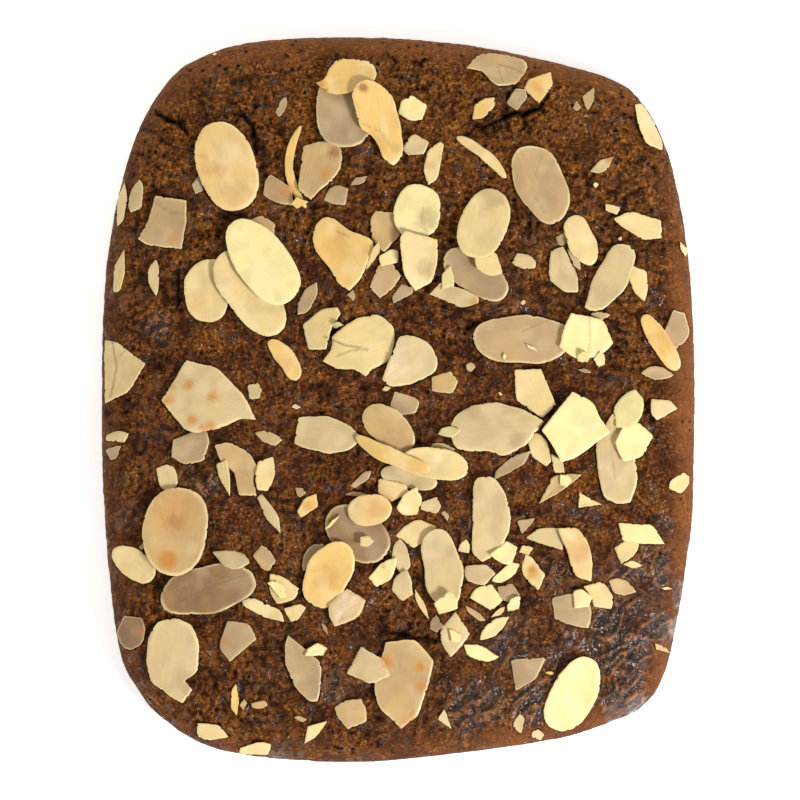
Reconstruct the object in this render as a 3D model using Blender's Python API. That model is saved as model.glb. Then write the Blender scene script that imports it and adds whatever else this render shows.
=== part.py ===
"""Speculaas slab cookie strewn with flaked almonds.

The biscuit is one baked slab: a flat underside, a bulging side wall, a rolled
shoulder and a low uneven crown split by a few baking cracks.  Each almond slice
of 11 mm or more is a thin plate of its own that lies over the crown or over the
slices under it.  The smaller almond chips are baked into whatever they lie on.

Frame: millimetre sizes in the tables, metres in Blender.  Origin in the middle
of the underside, +Y along the slab's length, +Z up.
"""
import math

import bmesh
import bpy
import numpy as np
from mathutils import Vector, noise
from mathutils.bvhtree import BVHTree

MM = 0.001

# The slab
SLAB_THICKNESS = 16.6
CROWN_RISE = 1.9
WAIST_HEIGHT = 5.6
SHOULDER_WIDTH = 11.0
SHOULDER_POWER = 2.1
FOOT_INSET = 2.2
GRID_CELLS = 31
SHOULDER_STEPS = 4
BROAD_RELIEF = 0.55
BROAD_WAVE = 24.0
LUMP_RELIEF = 0.45
LUMP_WAVE = 8.5
CALM_MARGIN = 1.3

# Rim of the slab at its waist, clockwise from the top, in mm
RIM = (
    (-12.0, 90.3), (15.0, 88.6), (38.0, 84.2), (53.0, 79.9), (60.2, 74.8), (66.4, 63.9),
    (70.4, 48.8), (73.0, 30.0), (74.0, 8.0), (73.7, -20.0), (72.6, -36.0), (67.8, -63.8),
    (62.2, -75.6), (52.0, -81.0), (35.0, -85.6), (-4.6, -90.4), (-24.6, -90.2), (-44.6, -87.5),
    (-57.0, -81.2), (-65.2, -72.3), (-70.2, -59.6), (-73.6, -24.0), (-74.0, 10.0), (-72.4, 37.0),
    (-66.4, 63.2), (-57.4, 79.4), (-47.6, 86.0), (-34.6, 89.2),
)
SPLINE_STEPS = 12

# Baking cracks: width, depth and the line each one follows, in mm
CRACKS = (
    (1.6, 2.4, ((17.5, 65.8), (22.0, 68.6), (26.5, 69.9), (31.5, 71.4), (36.2, 73.4), (37.8, 78.0))),
    (1.3, 1.8, ((-60.8, 72.6), (-58.6, 69.8), (-54.6, 68.6), (-51.8, 66.0))),
    (1.2, 1.8, ((-41.0, 71.6), (-36.6, 68.6), (-35.2, 60.2))),
    (1.4, 2.2, ((-4.0, -57.8), (1.6, -58.6), (9.8, -59.8))),
    (1.0, 1.5, ((-3.0, 87.0), (-1.2, 84.2), (0.2, 82.0))),
    (1.3, 1.8, ((-54.6, 32.6), (-54.2, 27.4), (-55.2, 22.6))),
)

# Almonds
SLICE_THICKNESS = 1.0
SLICE_SIDES = 14
SLICE_POWER = 2.25
GAP = 0.35
SIDE_GAP = 0.55
SAMPLE_STEP = 0.6
BEND_LIMIT = 0.004
CHIP_PROUD = 0.9
CHIP_ROOT = 2.0
FOOT_SCALE = 0.45
FOOT_BITE = 0.5


def rotated(x, y, turn):
    """A point turned about the origin by a number of degrees."""
    angle = math.radians(turn)
    return (x * math.cos(angle) - y * math.sin(angle), x * math.sin(angle) + y * math.cos(angle))


def whole(name, layer, x, y, turn, length, width, bow=0.0):
    """A whole almond slice: an oval that may be bowed along its length."""
    outline = []
    for step in range(SLICE_SIDES):
        angle = 2.0 * math.pi * step / SLICE_SIDES
        along = math.copysign(abs(math.cos(angle)) ** (2.0 / SLICE_POWER), math.cos(angle))
        across = math.copysign(abs(math.sin(angle)) ** (2.0 / SLICE_POWER), math.sin(angle))
        local_y = across * width / 2.0 + bow * (0.5 - along * along)
        dx, dy = rotated(along * length / 2.0, local_y, turn)
        outline.append((x + dx, y + dy))
    return {"name": name, "layer": layer, "outline": outline, "oval": True}


def shard(name, layer, *corners):
    """A broken almond slice with straight snapped edges between its corners."""
    area = 0.0
    for (x0, y0), (x1, y1) in zip(corners, corners[1:] + corners[:1]):
        area += x0 * y1 - x1 * y0
    outline = list(corners) if area > 0.0 else list(reversed(corners))
    return {"name": name, "layer": layer, "outline": outline, "oval": False}


def chip(layer, x, y, turn, length, width, sides):
    """A small almond chip: a polygon stretched to its length and width."""
    outline = []
    for step in range(sides):
        angle = 2.0 * math.pi * step / sides
        dx, dy = rotated(math.cos(angle) * length / 2.0, math.sin(angle) * width / 2.0, turn)
        outline.append((x + dx, y + dy))
    return {"name": "", "layer": layer, "outline": outline, "oval": False}


# Every almond piece from the lowest layer to the highest.  Sizes in mm, turn in
# degrees from +X.  whole: name, layer, x, y, turn, length, width, bow.
# shard: name, layer, corners.  chip: layer, x, y, turn, length, width, sides.
PIECES = (
    chip(0, -49.6, 53.4, 100, 4.5, 3.5, 5),
    chip(0, -28.8, 72.9, 65, 5.5, 2.2, 5),
    chip(0, -68.8, 49.1, 80, 11.2, 2.5, 6),
    chip(0, -65.3, 50.4, 80, 8.5, 3.5, 6),
    shard("almond_01", 0,
          (-60.3, 50.6), (-52.6, 49.4), (-52.6, 43.6), (-53.8, 37.4), (-62.6, 38.4), (-64.8, 39.9),
          (-62.1, 44.4)),
    whole("almond_02", 0, -25.3, 57.6, 94, 20.5, 2.5, bow=3.5),
    chip(0, -30.1, 52.1, -35, 9.5, 5.5, 6),
    shard("almond_03", 0,
          (-23.6, 62.9), (-20.1, 63.9), (-16.6, 64.1), (-14.3, 63.1), (-13.8, 60.4), (-14.3, 57.4),
          (-16.3, 54.4), (-19.6, 51.9), (-21.6, 49.4), (-24.6, 51.6), (-24.8, 53.6), (-24.1, 58.6)),
    whole("almond_04", 0, -13.3, 71.9, 95, 18.8, 14.5),
    chip(0, 3.2, 72.6, 20, 7.5, 6.5, 6),
    chip(0, 4.2, 63.4, 20, 6.8, 5.5, 6),
    chip(0, 8.9, 58.9, 78, 11.5, 4, 6),
    whole("almond_05", 0, 20.9, 60.6, -40, 16, 2.8, bow=1),
    shard("almond_06", 0,
          (16.9, 82.4), (19.4, 85.6), (22.9, 86.4), (27.9, 85.6), (31.9, 84.4), (32.4, 82.6),
          (29.2, 78.1), (24.2, 77.9), (20.4, 81.9)),
    chip(0, 29.9, 74.6, 60, 5.5, 3.8, 5),
    chip(0, 21.2, 72.6, 42, 7.8, 4, 6),
    chip(0, 47.4, 74.9, 75, 6, 3, 5),
    shard("almond_07", 0,
          (58.9, 73.4), (60.7, 73.9), (63.4, 69.9), (66.2, 63.4), (65.7, 62.1), (61.7, 63.4),
          (59.7, 67.9)),
    whole("almond_08", 0, 35.4, 53.6, -67, 20.8, 12),
    chip(0, 50.7, 58.1, 38, 7, 3.2, 5),
    chip(0, 53.2, 47.4, -20, 4, 2.2, 5),
    shard("almond_09", 0,
          (53.4, 44.9), (57.9, 46.9), (65.2, 44.4), (65.7, 40.1), (61.2, 39.6), (55.4, 42.9)),
    chip(0, -3.8, 42.4, 100, 10.5, 7.5, 6),
    chip(0, -3.3, 30.1, 70, 9.5, 6.5, 6),
    chip(0, 0.9, 26.4, 35, 6.5, 3.5, 5),
    shard("almond_10", 0,
          (-21.3, 39.9), (-20.8, 42.9), (-19.1, 45.1), (-16.6, 45.4), (-12.1, 41.9), (-6.8, 40.1),
          (-5.8, 38.1), (-9.3, 29.9), (-12.1, 26.9), (-14.6, 28.4), (-16.8, 32.4), (-20.6, 36.9)),
    chip(0, -22.6, 25.1, 57, 9.5, 3.8, 6),
    whole("almond_11", 0, 19.2, 31.1, -35, 18, 9.5),
    chip(0, 31.2, 34.4, 0, 6.2, 4, 6),
    chip(0, 40.7, 39.6, 0, 4.2, 3.5, 5),
    whole("almond_12", 0, 41.2, 31.6, -65, 12.5, 7.5),
    chip(0, 59.7, 29.4, -70, 9.5, 5, 6),
    chip(0, 50.4, 20.9, 0, 5, 2.5, 5),
    chip(0, 71.2, 37.4, -70, 4, 2, 4),
    chip(0, 70.4, 17.6, 62, 11.5, 7, 6),
    chip(0, 64.4, 6.4, 0, 8.5, 3.5, 6),
    whole("almond_13", 0, 30.9, 14.9, 0, 25, 11.8),
    chip(0, 46.4, 7.1, 0, 3.5, 1.5, 4),
    shard("almond_14", 0, (28.9, 7.4), (35.4, 7.6), (39.2, -1.4), (35.7, -4.6), (29.2, -0.1)),
    chip(0, 35.2, -12.4, -75, 9, 5, 6),
    shard("", 0, (38.4, -18.9), (42.2, -18.4), (45.7, -18.6), (40.9, -22.6), (34.9, -25.9)),
    chip(0, 27.7, -16.6, 35, 11.5, 3.5, 5),
    whole("almond_15", 0, 53.4, -15.4, -85, 23.5, 10.2),
    chip(0, 65.7, -2.1, -20, 7, 6, 5),
    chip(0, 69.9, -20.9, 30, 6, 4.2, 6),
    shard("", 0, (44.9, -22.9), (46.7, -24.1), (50.7, -26.1), (44.7, -26.9)),
    shard("", 0, (29.4, -30.1), (33.9, -29.4), (33.2, -30.9), (30.7, -33.4)),
    shard("", 0,
          (31.7, -34.4), (34.7, -31.9), (41.2, -31.9), (41.2, -35.1), (40.9, -37.4), (36.2, -36.1)),
    shard("", 0, (53.7, -36.9), (56.7, -34.6), (59.9, -35.6), (59.2, -38.4), (55.4, -40.9)),
    chip(0, 58.7, -40.9, 0, 5, 2.2, 4),
    chip(0, 55.7, -46.6, -20, 7.5, 4.2, 6),
    shard("", 0,
          (38.2, -49.4), (42.2, -48.1), (47.2, -48.9), (48.2, -53.4), (47.4, -56.9), (42.2, -55.9),
          (38.7, -54.4)),
    chip(0, 65.4, -62.1, -35, 5, 1.8, 4),
    shard("", 0, (27.9, -64.6), (36.7, -64.1), (34.2, -69.6), (29.2, -72.4)),
    whole("almond_16", 0, 43.4, -73.4, 62, 20, 11.2),
    chip(0, 30.2, -80.6, 85, 5, 3, 5),
    chip(0, 34.7, -83.4, 0, 3.2, 3, 5),
    chip(0, -69.6, 31.1, 78, 11.2, 3, 5),
    chip(0, -60.6, 30.4, 90, 9.2, 2.8, 6),
    whole("almond_17", 0, -47.3, 27.1, 90, 15.8, 11.5),
    chip(0, -33.6, 42.9, -30, 7.5, 5, 6),
    shard("almond_18", 0, (-73.1, 14.9), (-70.1, 14.4), (-62.8, 8.9), (-66.8, 2.1), (-73.1, -1.1)),
    whole("almond_19", 0, -28.1, 9.9, -55, 12, 4.8, bow=0.8),
    chip(0, -51.3, -11.9, 20, 10.5, 8, 6),
    chip(0, -35.6, 2.1, 10, 3.5, 3.8, 5),
    chip(0, -32.3, -9.6, -15, 7.2, 3.2, 6),
    chip(0, -70.1, -9.4, 8, 6, 3.2, 5),
    chip(0, -70.8, -13.1, 20, 4.2, 3, 5),
    whole("almond_20", 0, -39.6, -16.9, -55, 15, 7, bow=1.8),
    chip(0, -43.1, -19.4, -80, 9.2, 3, 5),
    chip(0, -32.3, -27.4, -60, 11, 3.2, 5),
    chip(0, -57.3, -19.4, 100, 8, 5, 6),
    whole("almond_21", 0, -65.6, -40.9, -35, 12.5, 7),
    chip(0, -33.1, -39.9, -70, 6.8, 5, 6),
    chip(0, -28.8, -47.4, -40, 9, 6.5, 6),
    chip(0, -33.6, -52.1, -28, 12, 3.5, 6),
    chip(0, -25.3, -52.9, 10, 5.5, 4.2, 5),
    chip(0, -66.6, -58.4, 60, 9, 7.5, 7),
    whole("almond_22", 0, -55.8, -64.1, 85, 21.5, 13),
    chip(0, -40.1, -59.4, 50, 10.5, 8.5, 5),
    chip(0, -40.6, -74.4, 88, 8, 2, 5),
    chip(0, -34.6, -75.9, 0, 4.2, 2.2, 5),
    chip(0, -47.1, -82.9, -15, 8.5, 5, 5),
    chip(0, -35.8, -86.9, 8, 8.5, 3.8, 5),
    whole("almond_23", 0, -23.6, -67.4, -65, 16.5, 7.5),
    chip(0, -18.1, -56.9, -65, 3.5, 1.2, 4),
    chip(0, -21.1, -38.9, 60, 8.5, 4.5, 6),
    whole("almond_24", 0, -10.1, -33.4, -35, 17.5, 12),
    chip(0, -22.6, -26.4, 50, 7, 4, 5),
    whole("almond_25", 0, -17.6, -8.6, -3, 16.5, 10.5),
    chip(0, 1.7, -1.4, 0, 7.5, 6, 6),
    whole("almond_26", 0, 2.7, -19.4, -12, 14.5, 5.5),
    chip(0, 10.7, -11.9, 0, 6.5, 2.5, 5),
    chip(0, -1.8, -22.4, -25, 8.5, 5.5, 5),
    chip(0, 8.2, -26.6, 0, 5.2, 4.2, 5),
    chip(0, 4.9, -32.6, 20, 10.5, 6.5, 6),
    chip(0, -9.3, -19.9, 40, 6.5, 2.2, 5),
    chip(0, -10.1, -23.4, 0, 5.5, 1.5, 4),
    chip(0, 0.7, -38.6, -80, 9.5, 4.8, 6),
    chip(0, 1.2, -46.4, 80, 8, 5.5, 6),
    chip(0, 5.7, -51.1, -65, 8.5, 1.8, 5),
    whole("almond_27", 0, 22.9, -28.9, 87, 22, 9.2),
    chip(0, 16.4, -36.6, 0, 3.2, 3.5, 5),
    chip(0, 19.9, -43.4, 0, 8, 5.5, 6),
    chip(0, 26.9, -42.9, 35, 8.2, 3.5, 5),
    chip(0, 31.9, -37.4, 0, 3.5, 2.5, 5),
    chip(0, 33.2, -43.1, -65, 9.5, 5, 6),
    chip(0, 27.4, -48.1, 0, 5.5, 5, 5),
    chip(0, 24.7, -52.9, 30, 4.5, 1.8, 4),
    chip(0, 24.2, -56.4, 42, 9.5, 3.5, 6),
    chip(0, 19.2, -53.4, -35, 6.5, 1.8, 5),
    chip(0, 13.7, -58.9, 80, 11.5, 7.5, 6),
    chip(0, 9.4, -55.6, 0, 3.5, 4.5, 5),
    chip(0, 19.9, -63.1, -12, 9.5, 4, 5),
    shard("almond_28", 0,
          (-3.1, -60.1), (4.2, -59.6), (8.9, -64.6), (7.4, -71.1), (4.9, -78.6), (0.7, -81.9),
          (-4.8, -76.4), (-6.1, -71.4)),
    chip(0, -11.6, -77.6, 0, 8, 7.5, 7),
    chip(0, -20.8, -82.4, 42, 8.2, 3.5, 4),
    chip(0, -24.3, -79.4, 0, 3.5, 1.8, 4),
    chip(0, 10.7, -78.4, -50, 5, 3, 3),
    whole("almond_29", 0, -9.1, 13.9, 25, 19.5, 13.5),
    chip(0, 11.7, 4.1, 10, 6.8, 5.8, 5),
    chip(0, -15.3, 50.9, 20, 6.8, 5.5, 6),
    chip(0, -10.1, 54.1, 25, 5, 2.2, 4),
    whole("almond_30", 1, -42.6, 57.9, 105, 22.8, 14.5),
    chip(1, -24.3, 48.6, 0, 4.5, 2.8, 4),
    shard("almond_31", 1,
          (-20.6, 78.6), (-18.3, 79.4), (-17.1, 82.4), (-15.1, 84.6), (-10.8, 84.4), (-6.6, 83.9),
          (-5.1, 81.4), (-5.8, 78.9), (-11.6, 76.1), (-16.6, 75.6)),
    chip(1, 34.7, 77.6, 50, 8, 6, 5),
    whole("almond_32", 1, 4.7, 46.6, 80, 13.5, 11.8),
    chip(1, -2.1, 35.4, 20, 5.5, 3.8, 5),
    chip(1, -6.1, 35.9, 65, 8, 2, 5),
    chip(1, 21.7, 33.9, -20, 8.5, 6, 6),
    whole("almond_33", 1, 13.7, 25.6, -15, 12.5, 5),
    chip(1, 43.7, 34.9, -65, 6.2, 2.5, 5),
    shard("almond_34", 1,
          (52.2, 36.9), (53.7, 38.6), (56.2, 38.9), (58.7, 37.4), (58.9, 34.9), (56.7, 27.9),
          (51.2, 22.4), (47.9, 21.6), (46.2, 22.9), (48.4, 29.9)),
    whole("almond_35", 1, 65.2, 14.1, -58, 16.2, 5),
    shard("almond_36", 1,
          (42.9, 21.4), (50.9, 19.9), (53.4, 14.1), (51.7, 11.9), (48.4, 10.4), (44.2, 9.9),
          (39.9, 13.1), (40.9, 17.4)),
    whole("almond_37", 1, 24.7, -7.1, 0, 23, 13.5),
    chip(1, 39.7, -16.1, -60, 6, 3.5, 4),
    chip(1, 41.4, -20.1, 0, 3, 3.2, 5),
    chip(1, 57.7, -10.1, 60, 10.5, 8, 6),
    whole("almond_38", 1, 44.7, -38.1, -75, 13.5, 6.5),
    shard("", 1,
          (54.7, -30.6), (58.7, -30.9), (62.9, -30.9), (64.7, -33.4), (66.2, -35.9), (61.2, -35.9),
          (55.7, -35.1)),
    shard("", 1,
          (45.9, -46.4), (50.4, -45.1), (51.9, -46.4), (53.7, -49.4), (52.9, -52.1), (48.7, -51.4),
          (48.2, -49.4)),
    whole("almond_39", 1, -36.8, 26.6, -52, 24.5, 12.5),
    shard("almond_40", 1,
          (-52.8, 9.9), (-45.1, 7.9), (-38.1, 0.9), (-35.3, -5.1), (-38.8, -4.6), (-44.6, -7.1),
          (-50.8, -8.6), (-53.3, -7.4), (-58.8, -0.1), (-55.1, 5.4)),
    chip(1, -33.1, -18.6, 65, 9, 5.5, 6),
    whole("almond_41", 1, -47.3, -47.1, 14, 24.5, 11.5),
    chip(1, -29.8, -47.1, -40, 6, 3, 5),
    chip(1, -20.3, -62.1, 15, 6, 3.5, 5),
    whole("almond_42", 1, -17.3, -43.4, 60, 17.5, 11),
    chip(1, -8.1, -35.1, 0, 3.5, 2.8, 5),
    whole("almond_43", 1, -7.1, -27.4, 8, 11, 7.8),
    whole("almond_44", 1, -2.3, -7.1, -40, 15, 9),
    chip(1, 2.7, -25.9, 60, 8, 5.5, 6),
    chip(1, -3.8, -42.9, 35, 9, 5, 5),
    whole("almond_45", 1, 10.9, -41.9, -80, 20, 9.5),
    chip(1, 26.4, -38.4, 35, 6.8, 5.5, 5),
    chip(1, 21.9, -48.9, -10, 8.5, 6.5, 5),
    chip(1, 28.9, -50.9, 40, 5, 3.2, 5),
    chip(1, 14.2, -58.6, -50, 4.5, 3, 4),
    chip(1, -7.8, -66.1, -25, 10, 7.5, 5),
    shard("almond_46", 1,
          (0.2, 15.6), (3.2, 16.1), (6.2, 15.1), (8.4, 12.9), (9.9, 9.4), (9.4, 6.9), (3.2, 3.6),
          (-2.1, 3.1), (-4.1, 4.9)),
    shard("almond_47", 1,
          (-23.8, 18.6), (-19.1, 22.4), (-15.1, 22.9), (-14.1, 21.4), (-16.8, 17.4), (-17.8, 12.4),
          (-22.3, 12.4)),
    shard("almond_48", 2,
          (-11.6, 76.1), (-9.6, 78.9), (-6.6, 79.1), (-3.6, 77.6), (-1.1, 74.9), (0.7, 67.9),
          (1.4, 60.9), (-1.1, 58.1), (-3.8, 59.6), (-4.8, 62.9), (-6.6, 65.6), (-9.6, 66.9)),
    shard("almond_49", 2,
          (0.2, 40.4), (1.7, 41.9), (9.7, 39.6), (9.9, 34.4), (8.7, 29.4), (4.2, 26.9),
          (1.4, 30.9)),
    whole("almond_50", 2, 21.2, 43.6, 68, 18, 11.8),
    chip(2, 12.4, 29.9, 90, 6, 3.2, 5),
    whole("almond_51", 2, 45.4, 39.6, -65, 13, 7),
    chip(2, 45.9, 10.4, 10, 3.5, 3, 5),
    chip(2, 49.9, 9.9, 30, 3, 3.5, 5),
    chip(2, 12.7, -7.9, 5, 6, 3.2, 5),
    shard("almond_52", 2,
          (35.4, -7.6), (43.2, 1.9), (48.4, -0.6), (50.4, -5.1), (52.7, -8.1), (44.2, -14.4),
          (40.4, -15.6), (38.4, -11.4)),
    chip(2, 57.2, -3.1, 75, 10.5, 7.5, 7),
    shard("", 2, (43.4, -47.6), (45.4, -46.9), (48.2, -48.9), (47.4, -51.4), (43.7, -51.9)),
    whole("almond_53", 2, -33.6, 34.1, -52, 24.2, 13.2),
    whole("almond_54", 2, -55.3, -32.6, 80, 22, 16),
    chip(2, -41.3, -39.6, -15, 10, 4.5, 6),
    chip(2, -12.8, -51.4, 25, 10, 8, 6),
    whole("almond_55", 2, 9.2, -15.9, -10, 16.5, 8),
    chip(2, 12.2, -50.9, 30, 6, 5, 5),
    chip(2, -15.1, 18.4, 0, 3, 1.8, 4),
    whole("almond_56", 3, -1.3, -13.9, -24, 20.5, 4.2, bow=-0.8),
)


# ---------------------------------------------------------------- the slab

def spline_point(points, index, part):
    """Point on a closed Catmull-Rom curve through the given points."""
    count = len(points)
    p0 = Vector(points[(index - 1) % count])
    p1 = Vector(points[index % count])
    p2 = Vector(points[(index + 1) % count])
    p3 = Vector(points[(index + 2) % count])
    square = part * part
    cube = square * part
    return 0.5 * (
        2.0 * p1
        + (p2 - p0) * part
        + (2.0 * p0 - 5.0 * p1 + 4.0 * p2 - p3) * square
        + (3.0 * p1 - 3.0 * p2 + p3 - p0) * cube
    )


def rim_table():
    """The rim as angle and radius about the middle of its bounding box, in mm."""
    curve = []
    for index in range(len(RIM)):
        for step in range(SPLINE_STEPS):
            curve.append(spline_point(RIM, index, step / SPLINE_STEPS))
    points = np.array([tuple(point) for point in curve])
    points -= (points.max(axis=0) + points.min(axis=0)) / 2.0
    angles = np.arctan2(points[:, 1], points[:, 0])
    radii = np.hypot(points[:, 0], points[:, 1])
    order = np.argsort(angles)
    return angles[order], radii[order]


RIM_ANGLES, RIM_RADII = rim_table()


def rim_radius(angle):
    """Distance from the middle to the rim in the given direction, in mm."""
    return float(np.interp(angle, RIM_ANGLES, RIM_RADII, period=2.0 * math.pi))


def relief(x, y):
    """Uneven baked surface: broad swells with smaller lumps on them, in mm."""
    broad = noise.noise(Vector((x / BROAD_WAVE, y / BROAD_WAVE, 3.7)))
    lumps = noise.noise(Vector((x / LUMP_WAVE, y / LUMP_WAVE, 9.1)))
    return broad * BROAD_RELIEF + lumps * LUMP_RELIEF


def calm_circles():
    """Circles under the slices of the lowest layers, where the dough lies pressed."""
    circles = []
    for piece in PIECES:
        if not piece["name"] or piece["layer"] > 1:
            continue
        middle = middle_of(piece["outline"])
        for (x0, y0), (x1, y1) in zip(piece["outline"], piece["outline"][1:]):
            reach = math.hypot((x0 + x1) / 2.0 - middle[0], (y0 + y1) / 2.0 - middle[1])
            x = (middle[0] + (x0 + x1) / 2.0) / 2.0
            y = (middle[1] + (y0 + y1) / 2.0) / 2.0
            circles.append((x, y, reach / 2.0 + CALM_MARGIN))
    return circles


def middle_of(outline):
    """Mean of the corners of an outline."""
    count = len(outline)
    return (sum(x for x, _ in outline) / count, sum(y for _, y in outline) / count)


def calmness(x, y, circles):
    """1 on open dough, 0.15 where an almond slice presses it flat."""
    calm = 1.0
    for cx, cy, radius in circles:
        distance = math.hypot(x - cx, y - cy) / radius
        if distance < 1.6:
            calm = min(calm, 0.15 + 0.85 * max(0.0, (distance - 1.0) / 0.6))
    return calm


def crown_height(x, y, circles):
    """Height of the slab's top above its underside, in mm."""
    radius = math.hypot(x, y)
    rim = rim_radius(math.atan2(y, x))
    depth = min(max((rim - radius) / SHOULDER_WIDTH, 0.0), 1.0)
    roll = (1.0 - (1.0 - depth) ** SHOULDER_POWER) ** (1.0 / SHOULDER_POWER)
    edge = SLAB_THICKNESS - CROWN_RISE
    height = WAIST_HEIGHT + (edge - WAIST_HEIGHT) * roll
    height += CROWN_RISE * depth * (1.0 - (radius / rim) ** 2)
    return height + relief(x, y) * depth * calmness(x, y, circles)


def slab_rings():
    """Inset and height of each ring of the side, from shoulder to underside, in mm."""
    rings = []
    for step in range(1, SHOULDER_STEPS + 1):
        turn = math.pi / 2.0 * step / SHOULDER_STEPS
        rings.append((SHOULDER_WIDTH * (1.0 - math.sin(turn) ** 0.8), None))
    rings.append((0.5, WAIST_HEIGHT * 0.45))
    rings.append((1.1, WAIST_HEIGHT * 0.14))
    rings.append((FOOT_INSET, 0.0))
    return rings


def grid_border(cells):
    """Grid indices round the border of the square grid, counter-clockwise."""
    border = [(step, 0) for step in range(cells)]
    border += [(cells, step) for step in range(cells)]
    border += [(cells - step, cells) for step in range(cells)]
    border += [(0, cells - step) for step in range(cells)]
    return border


def slab_mesh(circles):
    """Points and faces of the slab: mapped grid on top, rings down the side, flat base."""
    points = []
    index_of = {}
    for row in range(GRID_CELLS + 1):
        for column in range(GRID_CELLS + 1):
            u = 2.0 * column / GRID_CELLS - 1.0
            v = 2.0 * row / GRID_CELLS - 1.0
            angle = math.atan2(v * 91.0, u * 74.0)
            reach = max(abs(u), abs(v)) * (rim_radius(angle) - SHOULDER_WIDTH)
            x = reach * math.cos(angle)
            y = reach * math.sin(angle)
            index_of[(column, row)] = len(points)
            points.append((x, y, crown_height(x, y, circles)))
    faces = []
    for row in range(GRID_CELLS):
        for column in range(GRID_CELLS):
            a = index_of[(column, row)]
            b = index_of[(column + 1, row)]
            c = index_of[(column + 1, row + 1)]
            d = index_of[(column, row + 1)]
            faces += [(a, b, c), (a, c, d)] if (row + column) % 2 else [(a, b, d), (b, c, d)]
    upper = [index_of[spot] for spot in grid_border(GRID_CELLS)]
    angles = [math.atan2(points[index][1], points[index][0]) for index in upper]
    for inset, height in slab_rings():
        lower = []
        for angle in angles:
            reach = rim_radius(angle) - inset
            x = reach * math.cos(angle)
            y = reach * math.sin(angle)
            z = crown_height(x, y, circles) if height is None else height
            lower.append(len(points))
            points.append((x, y, z))
        faces += band(upper, lower)
        upper = lower
    faces.append(tuple(reversed(upper)))
    return points, faces


def band(upper, lower):
    """Triangles between two closed rings of points."""
    faces = []
    count = len(upper)
    for step in range(count):
        after = (step + 1) % count
        faces.append((upper[step], lower[step], lower[after]))
        faces.append((upper[step], lower[after], upper[after]))
    return faces


def crack_mesh(width, depth, line, circles):
    """A V-shaped wedge along a crack's line, tapered to both ends."""
    points = []
    last = len(line) - 1
    for index, (x, y) in enumerate(line):
        x0, y0 = line[max(index - 1, 0)]
        x1, y1 = line[min(index + 1, last)]
        run = math.hypot(x1 - x0, y1 - y0)
        nx = -(y1 - y0) / run
        ny = (x1 - x0) / run
        taper = 0.35 + 0.65 * math.sin(math.pi * (index + 0.5) / (last + 1))
        half = width * taper
        top = crown_height(x, y, circles)
        points.append((x + nx * half, y + ny * half, top + 1.2))
        points.append((x - nx * half, y - ny * half, top + 1.2))
        points.append((x, y, top - depth * taper))
    faces = [(0, 2, 1)]
    for index in range(last):
        a = 3 * index
        for near, far in ((0, 1), (1, 2), (2, 0)):
            faces.append((a + near, a + far, a + 3 + far))
            faces.append((a + near, a + 3 + far, a + 3 + near))
    faces.append((3 * last, 3 * last + 1, 3 * last + 2))
    return points, faces


# ---------------------------------------------------------------- the almonds

def inside(outline, x, y):
    """Whether a point lies inside an outline."""
    hit = False
    for (x0, y0), (x1, y1) in zip(outline, outline[1:] + outline[:1]):
        if (y0 > y) != (y1 > y) and x < (x1 - x0) * (y - y0) / (y1 - y0) + x0:
            hit = not hit
    return hit


def grown(outline, margin):
    """The outline pushed outwards from its middle by a margin."""
    mx, my = middle_of(outline)
    result = []
    for x, y in outline:
        reach = math.hypot(x - mx, y - my)
        factor = (reach + margin) / reach
        result.append((mx + (x - mx) * factor, my + (y - my) * factor))
    return result


def footprint(outline):
    """Sample points over an outline and a little beyond its edge."""
    wide = grown(outline, SIDE_GAP)
    xs = [x for x, _ in wide]
    ys = [y for _, y in wide]
    samples = list(wide)
    samples += list(outline)
    samples.append(middle_of(outline))
    x = min(xs)
    while x < max(xs):
        y = min(ys)
        while y < max(ys):
            if inside(wide, x, y):
                samples.append((x, y))
            y += SAMPLE_STEP
        x += SAMPLE_STEP
    return samples


def support(layers, x, y):
    """Height and owner of the highest surface under a spot."""
    best = (0.0, None)
    for layer in layers:
        low, high = layer["box"]
        if not (low[0] <= x <= high[0] and low[1] <= y <= high[1]):
            continue
        hit = layer["tree"].ray_cast(Vector((x, y, 60.0)), Vector((0.0, 0.0, -1.0)))[0]
        if hit is not None and hit.z > best[0]:
            best = (hit.z, layer["owner"])
    return best


def supported(samples, layers):
    """The samples that have something under them, with what was found there."""
    founds = [support(layers, x, y) for x, y in samples]
    pairs = [(spot, found) for spot, found in zip(samples, founds) if found[1]]
    return [spot for spot, _ in pairs], [found for _, found in pairs]


def lay_on(samples, heights, bendable):
    """Smooth surface that rests on the heights: level, two slopes and three bends."""
    spots = np.array(samples)
    heights = np.array(heights)
    mid = spots.mean(axis=0)
    u = spots[:, 0] - mid[0]
    v = spots[:, 1] - mid[1]
    terms = [np.ones_like(u), u, v]
    if bendable:
        terms += [u * u, u * v, v * v]
    basis = np.stack(terms, axis=1)
    weights = np.ones_like(u)
    for _ in range(24):
        factors = np.linalg.lstsq(basis * weights[:, None], heights * weights, rcond=None)[0]
        if bendable:
            factors[3:] = np.clip(factors[3:], -BEND_LIMIT, BEND_LIMIT)
            rest = heights - basis[:, 3:] @ factors[3:]
            flat = basis[:, :3] * weights[:, None]
            factors[:3] = np.linalg.lstsq(flat, rest * weights, rcond=None)[0]
        over = heights - basis @ factors
        weights = np.where(over > 0.0, np.minimum(weights * 1.35, 60.0), weights)
    padded = np.zeros(6)
    padded[:len(factors)] = factors
    return padded, mid


def surface_height(surface, x, y):
    """Height of a fitted surface at a spot, in mm."""
    factors, mid = surface
    u = x - mid[0]
    v = y - mid[1]
    return float(factors @ np.array((1.0, u, v, u * u, u * v, v * v)))


def fan(count):
    """Triangles from a middle point to each edge of a ring."""
    return [(step, (step + 1) % count, count) for step in range(count)]


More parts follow.
